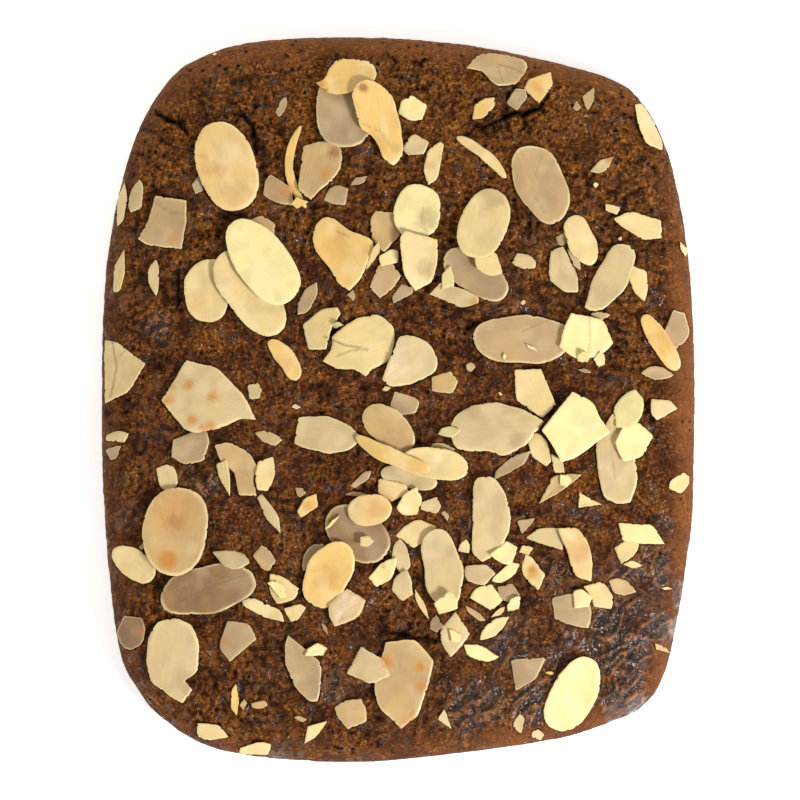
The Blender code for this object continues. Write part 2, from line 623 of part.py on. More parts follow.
def ladder(count):
    """Triangles across a long oval, from each side of the ring to the other."""
    half = count // 2
    faces = [(0, 1, count - 1)]
    for step in range(1, half - 1):
        faces.append((step, step + 1, count - step - 1))
        faces.append((step, count - step - 1, count - step))
    faces.append((half - 1, half, half + 1))
    return faces


def plate_mesh(piece, surface, low, high):
    """A thin plate between two heights over a surface, both faces split alike."""
    outline = piece["outline"]
    count = len(outline)
    spots = list(outline)
    split = ladder(count)
    if not piece["oval"]:
        spots.append(middle_of(outline))
        split = fan(count)
    total = len(spots)
    points = []
    for offset in (high, low):
        for x, y in spots:
            points.append((x, y, surface_height(surface, x, y) + offset))
    faces = []
    for a, b, c in split:
        faces.append((a, b, c))
        faces.append((total + a, total + c, total + b))
    faces += band(list(range(count)), list(range(total, total + count)))
    return points, faces


def as_layer(points, faces, owner):
    """A laid piece that later pieces can rest on."""
    tree = BVHTree.FromPolygons([Vector(point) for point in points], faces)
    low = tuple(min(point[axis] for point in points) for axis in range(2))
    high = tuple(max(point[axis] for point in points) for axis in range(2))
    return {"tree": tree, "box": (low, high), "owner": owner}


def clearing_lift(piece, surface, samples, heights):
    """How far the plate has to rise so that its facets clear what is under them."""
    points, faces = plate_mesh(piece, surface, 0.0, SLICE_THICKNESS)
    under = BVHTree.FromPolygons([Vector(point) for point in points], faces)
    lift = -50.0
    for (x, y), height in zip(samples, heights):
        hit = under.ray_cast(Vector((x, y, -60.0)), Vector((0.0, 0.0, 1.0)))[0]
        own = surface_height(surface, x, y)
        if hit is not None:
            own = min(own, hit.z)
        lift = max(lift, height - own)
    return lift + GAP


def lay_slice(piece, layers):
    """Mesh of an almond slice resting on everything laid before it."""
    samples, founds = supported(footprint(piece["outline"]), layers)
    heights = [height for height, _ in founds]
    surface = lay_on(samples, heights, True)
    lift = clearing_lift(piece, surface, samples, heights)
    return plate_mesh(piece, surface, lift, lift + SLICE_THICKNESS)


def foot_spot(outline, samples, founds):
    """Where a chip's foot can go down into one owner only, nearest the chip's middle."""
    mid = middle_of(outline)
    foot = [(mid[0] + (x - mid[0]) * FOOT_SCALE, mid[1] + (y - mid[1]) * FOOT_SCALE)
            for x, y in outline]
    reach = max(math.hypot(x - mid[0], y - mid[1]) for x, y in foot) + SIDE_GAP
    choices = []
    for (x, y), found in zip(samples, founds):
        if not inside(grown(outline, -reach * 0.6), x, y):
            continue
        near = [other for spot, other in zip(samples, founds)
                if math.hypot(spot[0] - x, spot[1] - y) < reach]
        if near and all(other[1] == found[1] for other in near):
            low = min(other[0] for other in near)
            choices.append((math.hypot(x - mid[0], y - mid[1]), x, y, low, found[1]))
    if not choices:
        return None
    _, x, y, low, owner = min(choices)
    return [(px - mid[0] + x, py - mid[1] + y) for px, py in foot], low, owner


def lay_chip(piece, layers):
    """Meshes of a chip and the node it is baked onto, or nothing where it has no hold."""
    outline = piece["outline"]
    samples, founds = supported(footprint(outline), layers)
    heights = [height for height, _ in founds]
    surface = lay_on(samples, heights, False)
    if all(layer_owner == "biscuit" for _, layer_owner in founds) and piece["layer"] == 0:
        return [plate_mesh(piece, surface, -CHIP_ROOT, CHIP_PROUD)], "biscuit"
    spot = foot_spot(outline, samples, founds)
    if spot is None:
        return None
    foot, low, owner = spot
    lift = clearing_lift(piece, surface, samples, heights)
    plate = plate_mesh(piece, surface, lift, lift + SLICE_THICKNESS)
    bite = FOOT_BITE if owner != "biscuit" else CHIP_ROOT
    level = (np.zeros(6), (0.0, 0.0))
    middle_height = surface_height(surface, *middle_of(foot)) + lift
    peg = plate_mesh({"outline": foot, "oval": False}, level, low - bite, middle_height + SLICE_THICKNESS * 0.6)
    return [plate, peg], owner


# ---------------------------------------------------------------- Blender objects

def clear_scene():
    """Empty the file."""
    for item in list(bpy.data.objects):
        bpy.data.objects.remove(item, do_unlink=True)


def make_object(name, points, faces):
    """A closed mesh object from points in mm."""
    mesh = bpy.data.meshes.new(name)
    mesh.from_pydata([(x * MM, y * MM, z * MM) for x, y, z in points], [], faces)
    build = bmesh.new()
    build.from_mesh(mesh)
    bmesh.ops.triangulate(build, faces=build.faces)
    bmesh.ops.recalc_face_normals(build, faces=build.faces)
    build.to_mesh(mesh)
    build.free()
    item = bpy.data.objects.new(name, mesh)
    bpy.context.scene.collection.objects.link(item)
    return item


def boolean_with(target, tools, operation, solver):
    """Join or cut a target with a set of closed meshes, then drop the tools."""
    group = bpy.data.collections.new(target.name + "_" + operation.lower())
    bpy.context.scene.collection.children.link(group)
    for tool in tools:
        bpy.context.scene.collection.objects.unlink(tool)
        group.objects.link(tool)
    modifier = target.modifiers.new(operation.title(), "BOOLEAN")
    modifier.operation = operation
    modifier.operand_type = "COLLECTION"
    modifier.collection = group
    modifier.solver = solver
    bpy.context.view_layer.update()
    evaluated = target.evaluated_get(bpy.context.evaluated_depsgraph_get())
    joined = bpy.data.meshes.new_from_object(evaluated)
    target.modifiers.clear()
    old = target.data
    target.data = joined
    bpy.data.meshes.remove(old)
    for tool in tools:
        bpy.data.objects.remove(tool, do_unlink=True)
    bpy.data.collections.remove(group)


def tidy_mesh(item):
    """Weld near points, triangulate, and keep the one large shell."""
    build = bmesh.new()
    build.from_mesh(item.data)
    bmesh.ops.remove_doubles(build, verts=build.verts, dist=0.002 * MM)
    bmesh.ops.dissolve_degenerate(build, edges=build.edges, dist=0.002 * MM)
    bmesh.ops.triangulate(build, faces=build.faces)
    shells = shells_of(build)
    shells.sort(key=len, reverse=True)
    for scrap in shells[1:]:
        bmesh.ops.delete(build, geom=scrap, context="VERTS")
    bmesh.ops.recalc_face_normals(build, faces=build.faces)
    build.to_mesh(item.data)
    build.free()


def shells_of(build):
    """Groups of connected vertices."""
    build.verts.ensure_lookup_table()
    left = set(build.verts)
    shells = []
    while left:
        stack = [left.pop()]
        shell = [stack[0]]
        while stack:
            vert = stack.pop()
            for edge in vert.link_edges:
                other = edge.other_vert(vert)
                if other in left:
                    left.remove(other)
                    stack.append(other)
                    shell.append(other)
        shells.append(shell)
    return shells


def plain_material(name, colour, roughness):
    """A Principled material of one colour."""
    material = bpy.data.materials.new(name)
    material.use_nodes = True
    shader = material.node_tree.nodes["Principled BSDF"]
    shader.inputs["Base Color"].default_value = (*colour, 1.0)
    shader.inputs["Roughness"].default_value = roughness
    return material


def build_slab(circles):
    """The slab with its baking cracks cut in."""
    points, faces = slab_mesh(circles)
    slab = make_object("biscuit", points, faces)
    tools = []
    for index, (width, depth, line) in enumerate(CRACKS):
        cut_points, cut_faces = crack_mesh(width, depth, line, circles)
        tools.append(make_object("crack_%d" % index, cut_points, cut_faces))
    boolean_with(slab, tools, "DIFFERENCE", "EXACT")
    tidy_mesh(slab)
    return slab, as_layer(points, faces, "biscuit")


def build_almonds(ground):
    """Lay every almond piece, and return the slices with the chips each node carries."""
    layers = [ground]
    slices = {}
    chips = {}
    for index, piece in enumerate(PIECES):
        if piece["name"]:
            points, faces = lay_slice(piece, layers)
            slices[piece["name"]] = make_object(piece["name"], points, faces)
            layers.append(as_layer(points, faces, piece["name"]))
            continue
        laid = lay_chip(piece, layers)
        if laid is None:
            continue
        meshes, owner = laid
        for part, (points, faces) in enumerate(meshes):
            tool = make_object("chip_%d_%d" % (index, part), points, faces)
            chips.setdefault(owner, []).append(tool)
            layers.append(as_layer(points, faces, owner))
    return slices, chips


def main():
    clear_scene()
    circles = calm_circles()
    slab, ground = build_slab(circles)
    slices, chips = build_almonds(ground)
    nodes = {"biscuit": slab}
    nodes.update(slices)
    for owner, tools in chips.items():
        boolean_with(nodes[owner], tools, "UNION", "MANIFOLD")
        tidy_mesh(nodes[owner])
    for name, item in nodes.items():
        if name == "biscuit":
            item.data.materials.clear()
            item.data.materials.append(plain_material("baked_dough", (0.11, 0.045, 0.018), 0.6))
        else:
            item.data.materials.clear()
            item.data.materials.append(plain_material(name + "_skin", (0.75, 0.58, 0.33), 0.5))


main()
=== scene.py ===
import math

import bpy
import numpy as np
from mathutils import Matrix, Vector, noise
from mathutils.bvhtree import BVHTree


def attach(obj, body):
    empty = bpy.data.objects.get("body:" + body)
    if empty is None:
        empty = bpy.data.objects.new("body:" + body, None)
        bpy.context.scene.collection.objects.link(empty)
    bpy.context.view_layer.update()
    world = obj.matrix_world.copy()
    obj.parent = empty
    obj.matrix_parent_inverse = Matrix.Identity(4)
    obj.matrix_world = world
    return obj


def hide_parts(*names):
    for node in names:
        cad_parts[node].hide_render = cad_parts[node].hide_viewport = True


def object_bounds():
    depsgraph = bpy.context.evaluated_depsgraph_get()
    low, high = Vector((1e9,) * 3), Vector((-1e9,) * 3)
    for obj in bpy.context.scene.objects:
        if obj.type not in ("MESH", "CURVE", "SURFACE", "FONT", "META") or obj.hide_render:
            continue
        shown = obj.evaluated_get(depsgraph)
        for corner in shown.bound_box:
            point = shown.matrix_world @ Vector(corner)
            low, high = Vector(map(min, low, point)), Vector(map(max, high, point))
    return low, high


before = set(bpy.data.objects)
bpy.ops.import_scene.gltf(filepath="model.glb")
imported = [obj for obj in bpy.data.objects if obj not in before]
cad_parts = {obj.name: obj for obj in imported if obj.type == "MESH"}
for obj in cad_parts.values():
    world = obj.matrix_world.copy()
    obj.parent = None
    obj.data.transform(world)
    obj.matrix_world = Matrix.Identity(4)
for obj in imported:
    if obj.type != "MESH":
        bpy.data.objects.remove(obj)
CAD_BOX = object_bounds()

# Speculaas slab cookie strewn with flaked almonds.  All sizes below are in mm
# unless a name says otherwise.  Origin in the middle of the underside, +Y along
# the slab's length, +Z up.
MM = 0.001
BOX_MARGIN = 1.0e-6

# Slab: the same driving sizes as its solid
SLAB_THICKNESS = 16.6
CROWN_RISE = 1.9
WAIST_HEIGHT = 5.6
SHOULDER_WIDTH = 11.0
SHOULDER_POWER = 2.1
FOOT_INSET = 2.2
BROAD_RELIEF = 0.55
BROAD_WAVE = 24.0
BROAD_LEVEL = 3.7
LUMP_RELIEF = 0.45
LUMP_WAVE = 8.5
LUMP_LEVEL = 9.1
CALM_MARGIN = 1.3
CALM_LEVEL = 0.15
CALM_FADE = 0.6
SLAB_HALF_X = 74.0
SLAB_HALF_Y = 91.0

# Rim of the slab seen from above, clockwise: spots that a closed curve runs through
RIM = (
    (-12.0, 90.3), (15.0, 88.6), (38.0, 84.2), (53.0, 79.9), (60.2, 74.8), (66.4, 63.9),
    (70.4, 48.8), (73.0, 30.0), (74.0, 8.0), (73.7, -20.0), (72.6, -36.0), (67.8, -63.8),
    (62.2, -75.6), (52.0, -81.0), (35.0, -85.6), (-4.6, -90.4), (-24.6, -90.2), (-44.6, -87.5),
    (-57.0, -81.2), (-65.2, -72.3), (-70.2, -59.6), (-73.6, -24.0), (-74.0, 10.0), (-72.4, 37.0),
    (-66.4, 63.2), (-57.4, 79.4), (-47.6, 86.0), (-34.6, 89.2),
)
SPLINE_STEPS = 12

# Mesh fineness
TOP_CELLS = 280
TOP_INSET = 2.6
SIDE_RINGS = 14
BASE_SHARES = (0.965, 0.82, 0.5)

# Rasters and noise
FIELD_CELL = 0.25
FIELD_MARGIN = 3.0
RELIEF_CELL = 1.0
LATTICE_CELLS = 256
LATTICE_TURN = 0.7
FAR = 1.0e9
TINY = 1.0e-9

# Side wall.  Its waist and the end of its grain are shares of the way down it, and
# the foot starts at a share of the way from waist to base.  The grain's run is for
# one radian round the slab and its rise for one ring.
WAIST_SHARE = 0.45
WAIST_POWER = 1.15
FOOT_START = 0.25
FOOT_POWER = 1.8
GRAIN_END = 0.97
GRAIN_RUN = 80.0
GRAIN_RISE = 1.1
GRAIN_LIMIT = -0.32
BASE_DIMPLE = 0.14
BASE_FADE = 0.06
BASE_CENTRE = (0.0, 0.0, 0.1)

# Baked surface.  Crumb: wave and height.
CRUMB_WAVES = ((4.1, 0.46), (2.3, 0.52), (1.3, 0.22))
CRUMB_SEED = 71
CRACK_WANDER = 0.7
PIT_SEED = 11
LOOSE_PITS = 1900
LOOSE_PIT_GROWTH = 0.9
PATCH_PIT_GROWTH = 1.25
PIT_RADIUS = (0.35, 0.85)
PIT_DEPTH = (0.35, 1.0)
PIT_STRETCH = (0.6, 1.0)
PIT_RAGGED = 0.35
WRINKLE_HEIGHT = 1.40
WRINKLE_LENGTH = 3.5
WRINKLE_TURN = 38.0
WRINKLE_BEND = 1.8
WRINKLE_CROWDING = 2.8
WRINKLE_SHARPNESS = 1.8
BANK_HEIGHT = 0.30
BANK_REACH = 0.9
BANK_START = 0.2
# The almonds' cover fades out just past their edges; on the dough's colour it is a painted shade
COVER_EDGE = (-0.4, 0.45)
ALMOND_MARGIN = 3.0
RIDGE_CELLS = 4
RIDGE_RANGE = 0.45
# Turn of the side where the rim's paler skin is strongest, the side facing the light: painted light
RIM_LIT_SIDE_TURN = 22.0

# Noises by what they shape: wave and seed
NOISES = {
    "slice": (1.5, 3), "clouds": (5.5, 21), "marks": (1.1, 23), "milk": (4.2, 25), "edge": (2.8, 26),
    "dull": (3.0, 27), "crack_x": (2.1, 41), "crack_y": (2.1, 42), "gloss_broad": (4.5, 51),
    "gloss_fine": (1.8, 52), "bend_x": (7.0, 61), "bend_y": (7.0, 62),
    "wrinkle": (WRINKLE_LENGTH * 1.4, 63), "bead": (1.05, 64), "pit_edge": (0.7, 77),
    "rim_skin": (6.0, 81), "rough": (13.0, 82), "bank": (3.0, 83), "dry_broad": (9.0, 84),
    "dry_fine": (2.6, 85), "side_fine": (1.9, 91), "side_finer": (0.9, 92), "side_broad": (6.0, 93),
    "base": (3.0, 95),
}

# Baking cracks: half-width, depth and line
CRACKS = (
    (0.75, 2.2, ((17.5, 65.8), (22.0, 68.6), (26.5, 69.9), (31.5, 71.4), (36.2, 73.4), (37.8, 78.0))),
    (0.60, 1.7, ((-60.8, 72.6), (-58.6, 69.8), (-54.6, 68.6), (-51.8, 66.0))),
    (0.55, 1.6, ((-41.0, 71.6), (-36.6, 68.6), (-35.2, 60.2))),
    (0.70, 2.0, ((-4.0, -57.8), (1.6, -58.6), (9.8, -59.8))),
    (0.40, 1.2, ((-3.0, 87.0), (-1.2, 84.2), (0.2, 82.0))),
    (0.60, 1.6, ((-54.6, 32.6), (-54.2, 27.4), (-55.2, 22.6))),
)

# Patches of open crumb: x, y, radius, pits in the patch
PIT_PATCHES = (
    (-58.0, 69.0, 6.0, 26), (-38.0, 69.0, 7.0, 34), (-33.0, 62.0, 6.0, 26), (-54.5, 27.0, 5.0, 22),
    (30.0, 71.0, 7.0, 28), (20.0, 66.0, 5.0, 18), (36.0, 80.0, 4.0, 12), (64.0, 60.0, 5.0, 18),
    (14.5, 15.0, 5.0, 18), (20.0, 8.6, 4.0, 14), (55.5, 12.0, 5.0, 18), (61.6, -3.8, 4.0, 12),
    (51.0, -68.5, 1.6, 3), (1.0, -57.0, 6.0, 22), (-45.0, 38.0, 6.0, 20), (53.0, 47.5, 4.5, 16),
    (-32.0, 25.0, 6.0, 16), (-20.0, -2.0, 6.0, 16), (-50.0, -12.0, 7.0, 20), (8.0, 42.0, 6.0, 18),
    (44.0, 55.0, 6.0, 16), (-8.0, -80.0, 7.0, 18), (-50.0, -76.0, 7.0, 18), (-62.0, 10.0, 5.0, 14),
    (66.0, 40.0, 4.0, 12), (5.0, 80.0, 6.0, 14), (-70.0, -5.0, 3.0, 8), (-62.0, 58.0, 6.0, 18),
)

# Patches where the dough baked glossy and wrinkled: x, y, radius, strength
GLOSS_PATCHES = (
    (62.0, -50.0, 15.0, 1.0), (52.0, -62.0, 15.0, 1.0), (38.0, -74.0, 13.0, 0.9), (56.0, -74.0, 9.0, 1.0),
    (28.0, -60.0, 9.0, 0.7), (18.0, -78.0, 11.0, 0.6), (66.0, -34.0, 7.0, 0.7), (60.0, -42.0, 9.0, 0.8),
    (-49.0, -20.0, 6.0, 0.7), (-67.0, -29.0, 4.0, 0.6), (13.0, -32.0, 6.0, 0.5), (-17.0, -70.0, 7.0, 0.6),
    (-10.0, -68.0, 5.0, 0.5), (45.0, -30.0, 6.0, 0.4), (-60.0, 18.0, 5.0, 0.4), (26.0, 26.0, 7.0, 0.3),
    (-68.0, -30.0, 4.0, 0.6), (-7.0, -51.5, 3.0, 0.5), (20.0, -76.0, 8.0, 0.7), (-9.5, -69.0, 4.0, 0.6),
    (-47.0, 46.0, 4.0, 0.35), (2.0, -36.0, 6.0, 0.4), (40.0, -46.0, 7.0, 0.6), (-28.0, -88.0, 6.0, 0.4),
)

# Almonds
SLICE_THICKNESS = 1.0
SLICE_TRIM = 0.96
SLICE_POWER = 2.25
OVAL_STEPS = 40
INNER_STEPS = 21
CHIP_THICKNESS = 0.95
CHIP_THINNEST = 0.55
CHIP_SINK = 0.15
CHIP_GAP = 0.12
CHIP_DIP = 0.08
CHIP_JITTER = 0.30
CHIP_REACH = (0.74, 1.12)
FULL_SIZE = 14.0
TOP_SHARES = (1.0, 0.985, 0.955, 0.91, 0.85, 0.78, 0.70, 0.62, 0.53, 0.44, 0.35, 0.26, 0.17, 0.08)
CHIP_SHARES = (1.0, 0.96, 0.88, 0.72, 0.50, 0.25)
LOWER_SHARES = (1.0, 0.955, 0.6)
EDGE_SHARE = 0.07
CUP = (-0.10, 0.30)
TWIST = 0.22
GRAIN_SHIFT = 3.1

# Ragged edges: length of a cut, jag, wobble as a share of the size, easing passes
SHARP_TURN = 58.0
WHOLE_EDGE = (0.45, 0.09, 0.012, 2)
TORN_EDGE = (0.40, 0.11, 0.004, 10)
SMALL_CUT = 0.30
SMALL_CUT_SIZE = 4.0
SMALL_PASSES = 4
SMALL_PASSES_SIZE = 8.0
SLOW_WAVES = (2, 3, 5)
NICK_SHARE = 0.05
NICK_DEPTH = (1.0, 3.5)

# Where the pieces lie: shares of a plan that are sampled, and rays in metres
NODE_SHARES = (0.0, 0.35, 0.65, 0.93)
REST_SHARES = (0.0, 0.5, 0.95)
REST_PASSES = 14
REST_GAIN = 1.4
REST_LIMIT = 30.0
RAY_BELOW = -0.01
RAY_ABOVE = 0.06

# Surface colours (sRGB, 0 to 255) by the look of a piece
TONES = {
    "dark": (152, 116, 80),
    "grey": (186, 158, 120),
    "wet": (200, 168, 124),
    "tan": (208, 174, 120),
    "pale": (224, 200, 150),
    "peach": (240, 206, 142),
    "toast": (244, 204, 124),
    "cream": (242, 216, 154),
    "bright": (254, 240, 172),
}
DEEP_TONES = ("dark", "grey", "wet", "tan", "pale")
WARM_TONES = ("toast", "peach")
MARK_COLOURS = {"toast": (212, 142, 60), "brown": (158, 96, 44), "wet": (180, 150, 108)}
MILK_COLOUR = (255, 238, 196)
SPLIT_COLOUR = (120, 78, 44)
RIM_COLOUR = (252, 232, 172)
HIGHLIGHT_FLECK_COLOUR = (255, 240, 196)
DULL_FACTORS = (0.72, 0.70, 0.74)
LIGHT_SHARE = 0.86

# Marks on the slices: x, y, radius, colour name, strength
MARKS = (
    (-57.6, -39.6, 3.2, "toast", 0.75), (-55.5, -28.0, 7.0, "toast", 0.40), (-46.0, 0.6, 2.0, "toast", 0.7),
    (-52.0, 3.6, 1.8, "toast", 0.7), (-50.8, -5.1, 1.7, "toast", 0.75), (-47.0, -6.9, 2.2, "toast", 0.75),
    (-56.6, -0.1, 1.6, "toast", 0.6), (-2.6, -64.9, 2.0, "toast", 0.8), (5.2, -66.4, 1.6, "toast", 0.8),
    (5.5, -71.4, 1.9, "toast", 0.7), (2.5, -80.5, 2.4, "toast", 0.7), (-15.8, 61.1, 1.8, "brown", 0.6),
    (-18.3, 56.1, 2.2, "toast", 0.5), (-8.6, 77.4, 1.5, "brown", 0.65), (-19.1, 78.4, 1.6, "toast", 0.7),
    (-47.1, 57.4, 3.0, "toast", 0.30), (-40.8, 51.2, 4.0, "toast", 0.22), (18.2, 34.6, 0.9, "toast", 0.9),
    (33.2, -43.1, 2.2, "toast", 0.75), (44.7, -37.6, 3.4, "toast", 0.40), (-15.8, 38.6, 4.5, "toast", 0.25),
    (-18.3, -43.9, 4.2, "toast", 0.35), (19.2, 24.1, 2.0, "toast", 0.6), (52.5, 59.9, 1.4, "toast", 0.8),
    (-37.1, -54.6, 2.0, "toast", 0.7), (-27.8, 51.2, 2.4, "toast", 0.55), (-63.0, -58.0, 2.2, "toast", 0.6),
    (-55.8, 39.9, 2.0, "toast", 0.45), (23.0, 50.0, 4.0, "wet", 0.55), (7.4, 44.9, 3.6, "wet", 0.5),
    (6.7, 32.4, 3.0, "wet", 0.5), (18.0, -2.6, 2.6, "wet", 0.5), (29.2, -10.0, 3.0, "wet", 0.45),
    (-39.6, -43.9, 3.0, "wet", 0.5), (-49.8, 24.0, 3.0, "toast", 0.2), (-28.6, 9.0, 3.0, "toast", 0.35),
    (65.2, 14.1, 4.0, "toast", 0.35), (34.6, 77.6, 2.0, "toast", 0.4), (-6.0, -27.0, 3.2, "toast", 0.35),
    (-22.5, -26.2, 1.8, "toast", 0.5), (8.0, 58.0, 1.8, "brown", 0.3), (-5.0, 64.0, 3.4, "toast", 0.25),
    (-55.8, 2.9, 0.8, "toast", 0.7), (-51.8, 3.4, 0.6, "toast", 0.6), (-45.6, 0.6, 0.7, "toast", 0.7),
    (-57.8, -0.4, 0.9, "toast", 0.7), (-51.3, -5.1, 0.8, "toast", 0.7), (-48.8, -6.9, 1.2, "toast", 0.7),
    (-57.1, -40.1, 2.3, "toast", 0.6), (-55.6, -30.1, 2.4, "brown", 0.35), (-48.8, 60.4, 1.6, "toast", 0.4),
    (-44.1, 56.9, 2.2, "toast", 0.35), (-8.6, 77.4, 1.3, "brown", 0.6), (-0.6, 62.4, 1.4, "brown", 0.3),
    (-18.1, 76.9, 0.9, "toast", 0.6), (-17.1, 61.1, 1.3, "brown", 0.4), (-18.3, 56.1, 1.2, "toast", 0.5),
    (-3.6, -41.6, 0.8, "toast", 0.6), (33.4, -42.1, 1.1, "toast", 0.6), (18.4, 34.4, 0.7, "toast", 0.8),
    (-37.1, -55.1, 1.6, "toast", 0.6), (-43.1, -60.1, 1.4, "toast", 0.5), (-2.8, -64.9, 1.1, "toast", 0.6),
    (5.4, -66.4, 0.9, "toast", 0.6), (3.4, -78.1, 1.0, "toast", 0.5),
)

# Splits in the slices: half-width, strength and line
SPLITS = (
    (0.14, 0.45, ((24.6, 83.4), (28.0, 82.6), (32.0, 80.8))),
    (0.13, 0.38, ((24.6, 83.4), (26.0, 78.6))),
    (0.18, 0.52, ((-71.4, 15.4), (-70.0, 8.0), (-71.6, 0.6))),
    (0.13, 0.34, ((-70.4, 10.0), (-66.0, 13.6))),
    (0.16, 0.34, ((47.4, 20.8), (47.6, 14.6), (47.0, 11.0))),
    (0.20, 0.52, ((-18.4, 15.6), (-13.0, 13.4), (-8.4, 12.8))),
    (0.17, 0.45, ((-15.6, 10.6), (-11.6, 12.2), (-7.4, 12.4))),
    (0.13, 0.41, ((-15.0, 41.6), (-12.4, 40.6))),
    (0.16, 0.38, ((-60.4, 48.8), (-56.6, 46.6), (-53.0, 46.0))),
    (0.14, 0.22, ((30.6, 16.8), (37.0, 19.6), (42.0, 21.6))),
    (0.14, 0.22, ((-57.0, -51.6), (-46.0, -46.2), (-37.6, -43.4))),
    (0.13, 0.22, ((-54.6, -47.4), (-44.0, -43.2))),
    (0.13, 0.30, ((-8.8, 68.4), (-4.6, 66.6), (-1.6, 62.4))),
    (0.12, 0.26, ((35.6, 60.6), (33.0, 52.0), (36.4, 46.4))),
    (0.12, 0.26, ((6.2, 47.8), (5.6, 43.0), (8.4, 40.6))),
    (0.12, 0.26, ((52.6, -10.6), (54.0, -20.0))),
)


def rotated(x, y, turn):
    """A point turned about the origin by a number of degrees."""
    angle = math.radians(turn)
    return (x * math.cos(angle) - y * math.sin(angle), x * math.sin(angle) + y * math.cos(angle))


def piece_seed(x, y, size):
    """Seed of a piece's random draws, worked out from its place and size."""
    seed = int(abs(x) * 31.0 + abs(y) * 57.0 + size * 13.0)
    seed += 11 if x > 0.0 else 0
    seed += 23 if y > 0.0 else 0
    return seed


def piece_entry(kind, name, layer, tone, x, y, turn, size, bow, local, grain):
    """One almond piece, with its outline about its own middle and in place."""
    coarse = []
    for u, v in local:
        bowed = v + bow * (0.5 - (2.0 * u / size) ** 2)
        dx, dy = rotated(u, bowed, turn)
        coarse.append((x + dx, y + dy))
    return {
        "kind": kind, "name": name, "layer": layer, "tone": tone, "x": x, "y": y, "turn": turn,
        "size": size, "bow": bow, "local": local, "coarse": coarse, "grain": grain,
        "seed": piece_seed(x, y, size),
    }


def whole(name, layer, tone, x, y, turn, length, width, bow=0.0):
    """A whole almond slice: a full oval that may be bowed."""
    local = []
    for step in range(OVAL_STEPS):
        angle = 2.0 * math.pi * step / OVAL_STEPS
        along = math.copysign(abs(math.cos(angle)) ** (2.0 / SLICE_POWER), math.cos(angle))
        across = math.copysign(abs(math.sin(angle)) ** (2.0 / SLICE_POWER), math.sin(angle))
        local.append((along * length / 2.0, across * width / 2.0))
    return piece_entry("whole", name, layer, tone, x, y, turn, length, bow, local, turn)


def inner_middle(ring):
    """The spot that lies deepest inside all the edges of an outline."""
    low_x, high_x = min(x for x, _ in ring), max(x for x, _ in ring)
    low_y, high_y = min(y for _, y in ring), max(y for _, y in ring)
    best = (-FAR, low_x, low_y)
    for step in range(INNER_STEPS ** 2):
        x = low_x + (high_x - low_x) * (step % INNER_STEPS) / (INNER_STEPS - 1.0)
        y = low_y + (high_y - low_y) * (step // INNER_STEPS) / (INNER_STEPS - 1.0)
        depth = FAR
        for (x0, y0), (x1, y1) in zip(ring, ring[1:] + ring[:1]):
            run = math.hypot(x1 - x0, y1 - y0)
            depth = min(depth, ((x1 - x0) * (y - y0) - (y1 - y0) * (x - x0)) / run)
        best = max(best, (depth, x, y))
    return best[1], best[2]


def shard(name, layer, tone, *corners):
    """A broken almond slice by its corners, which stay sharp where they turn by more than SHARP_TURN."""
    area = 0.0
    for (x0, y0), (x1, y1) in zip(corners, corners[1:] + corners[:1]):
        area += x0 * y1 - x1 * y0
    ring = list(corners) if area > 0.0 else list(reversed(corners))
    x, y = inner_middle(ring)
    local = [(px - x, py - y) for px, py in ring]
    reach = [math.hypot(u, v) for u, v in local]
    far = local[reach.index(max(reach))]
    grain = math.degrees(math.atan2(far[1], far[0]))
    return piece_entry("shard", name, layer, tone, x, y, 0.0, 2.0 * max(reach), 0.0, local, grain)


def chip(layer, tone, x, y, turn, length, width, sides):
    """A small almond chip: an uneven snapped fragment of a given length and width."""
    rng = np.random.RandomState(int(abs(x) * 97.0 + abs(y) * 41.0 + length * 10.0))
    local = []
    for step in range(sides):
        angle = 2.0 * math.pi * (step + rng.uniform(-CHIP_JITTER, CHIP_JITTER)) / sides
        reach = rng.uniform(*CHIP_REACH)
        local.append((math.cos(angle) * reach, math.sin(angle) * reach))
    span_u = max(u for u, _ in local) - min(u for u, _ in local)
    span_v = max(v for _, v in local) - min(v for _, v in local)
    local = [(u * length / span_u, v * width / span_v) for u, v in local]
    return piece_entry("chip", "", layer, tone, x, y, turn, length, 0.0, local, turn)


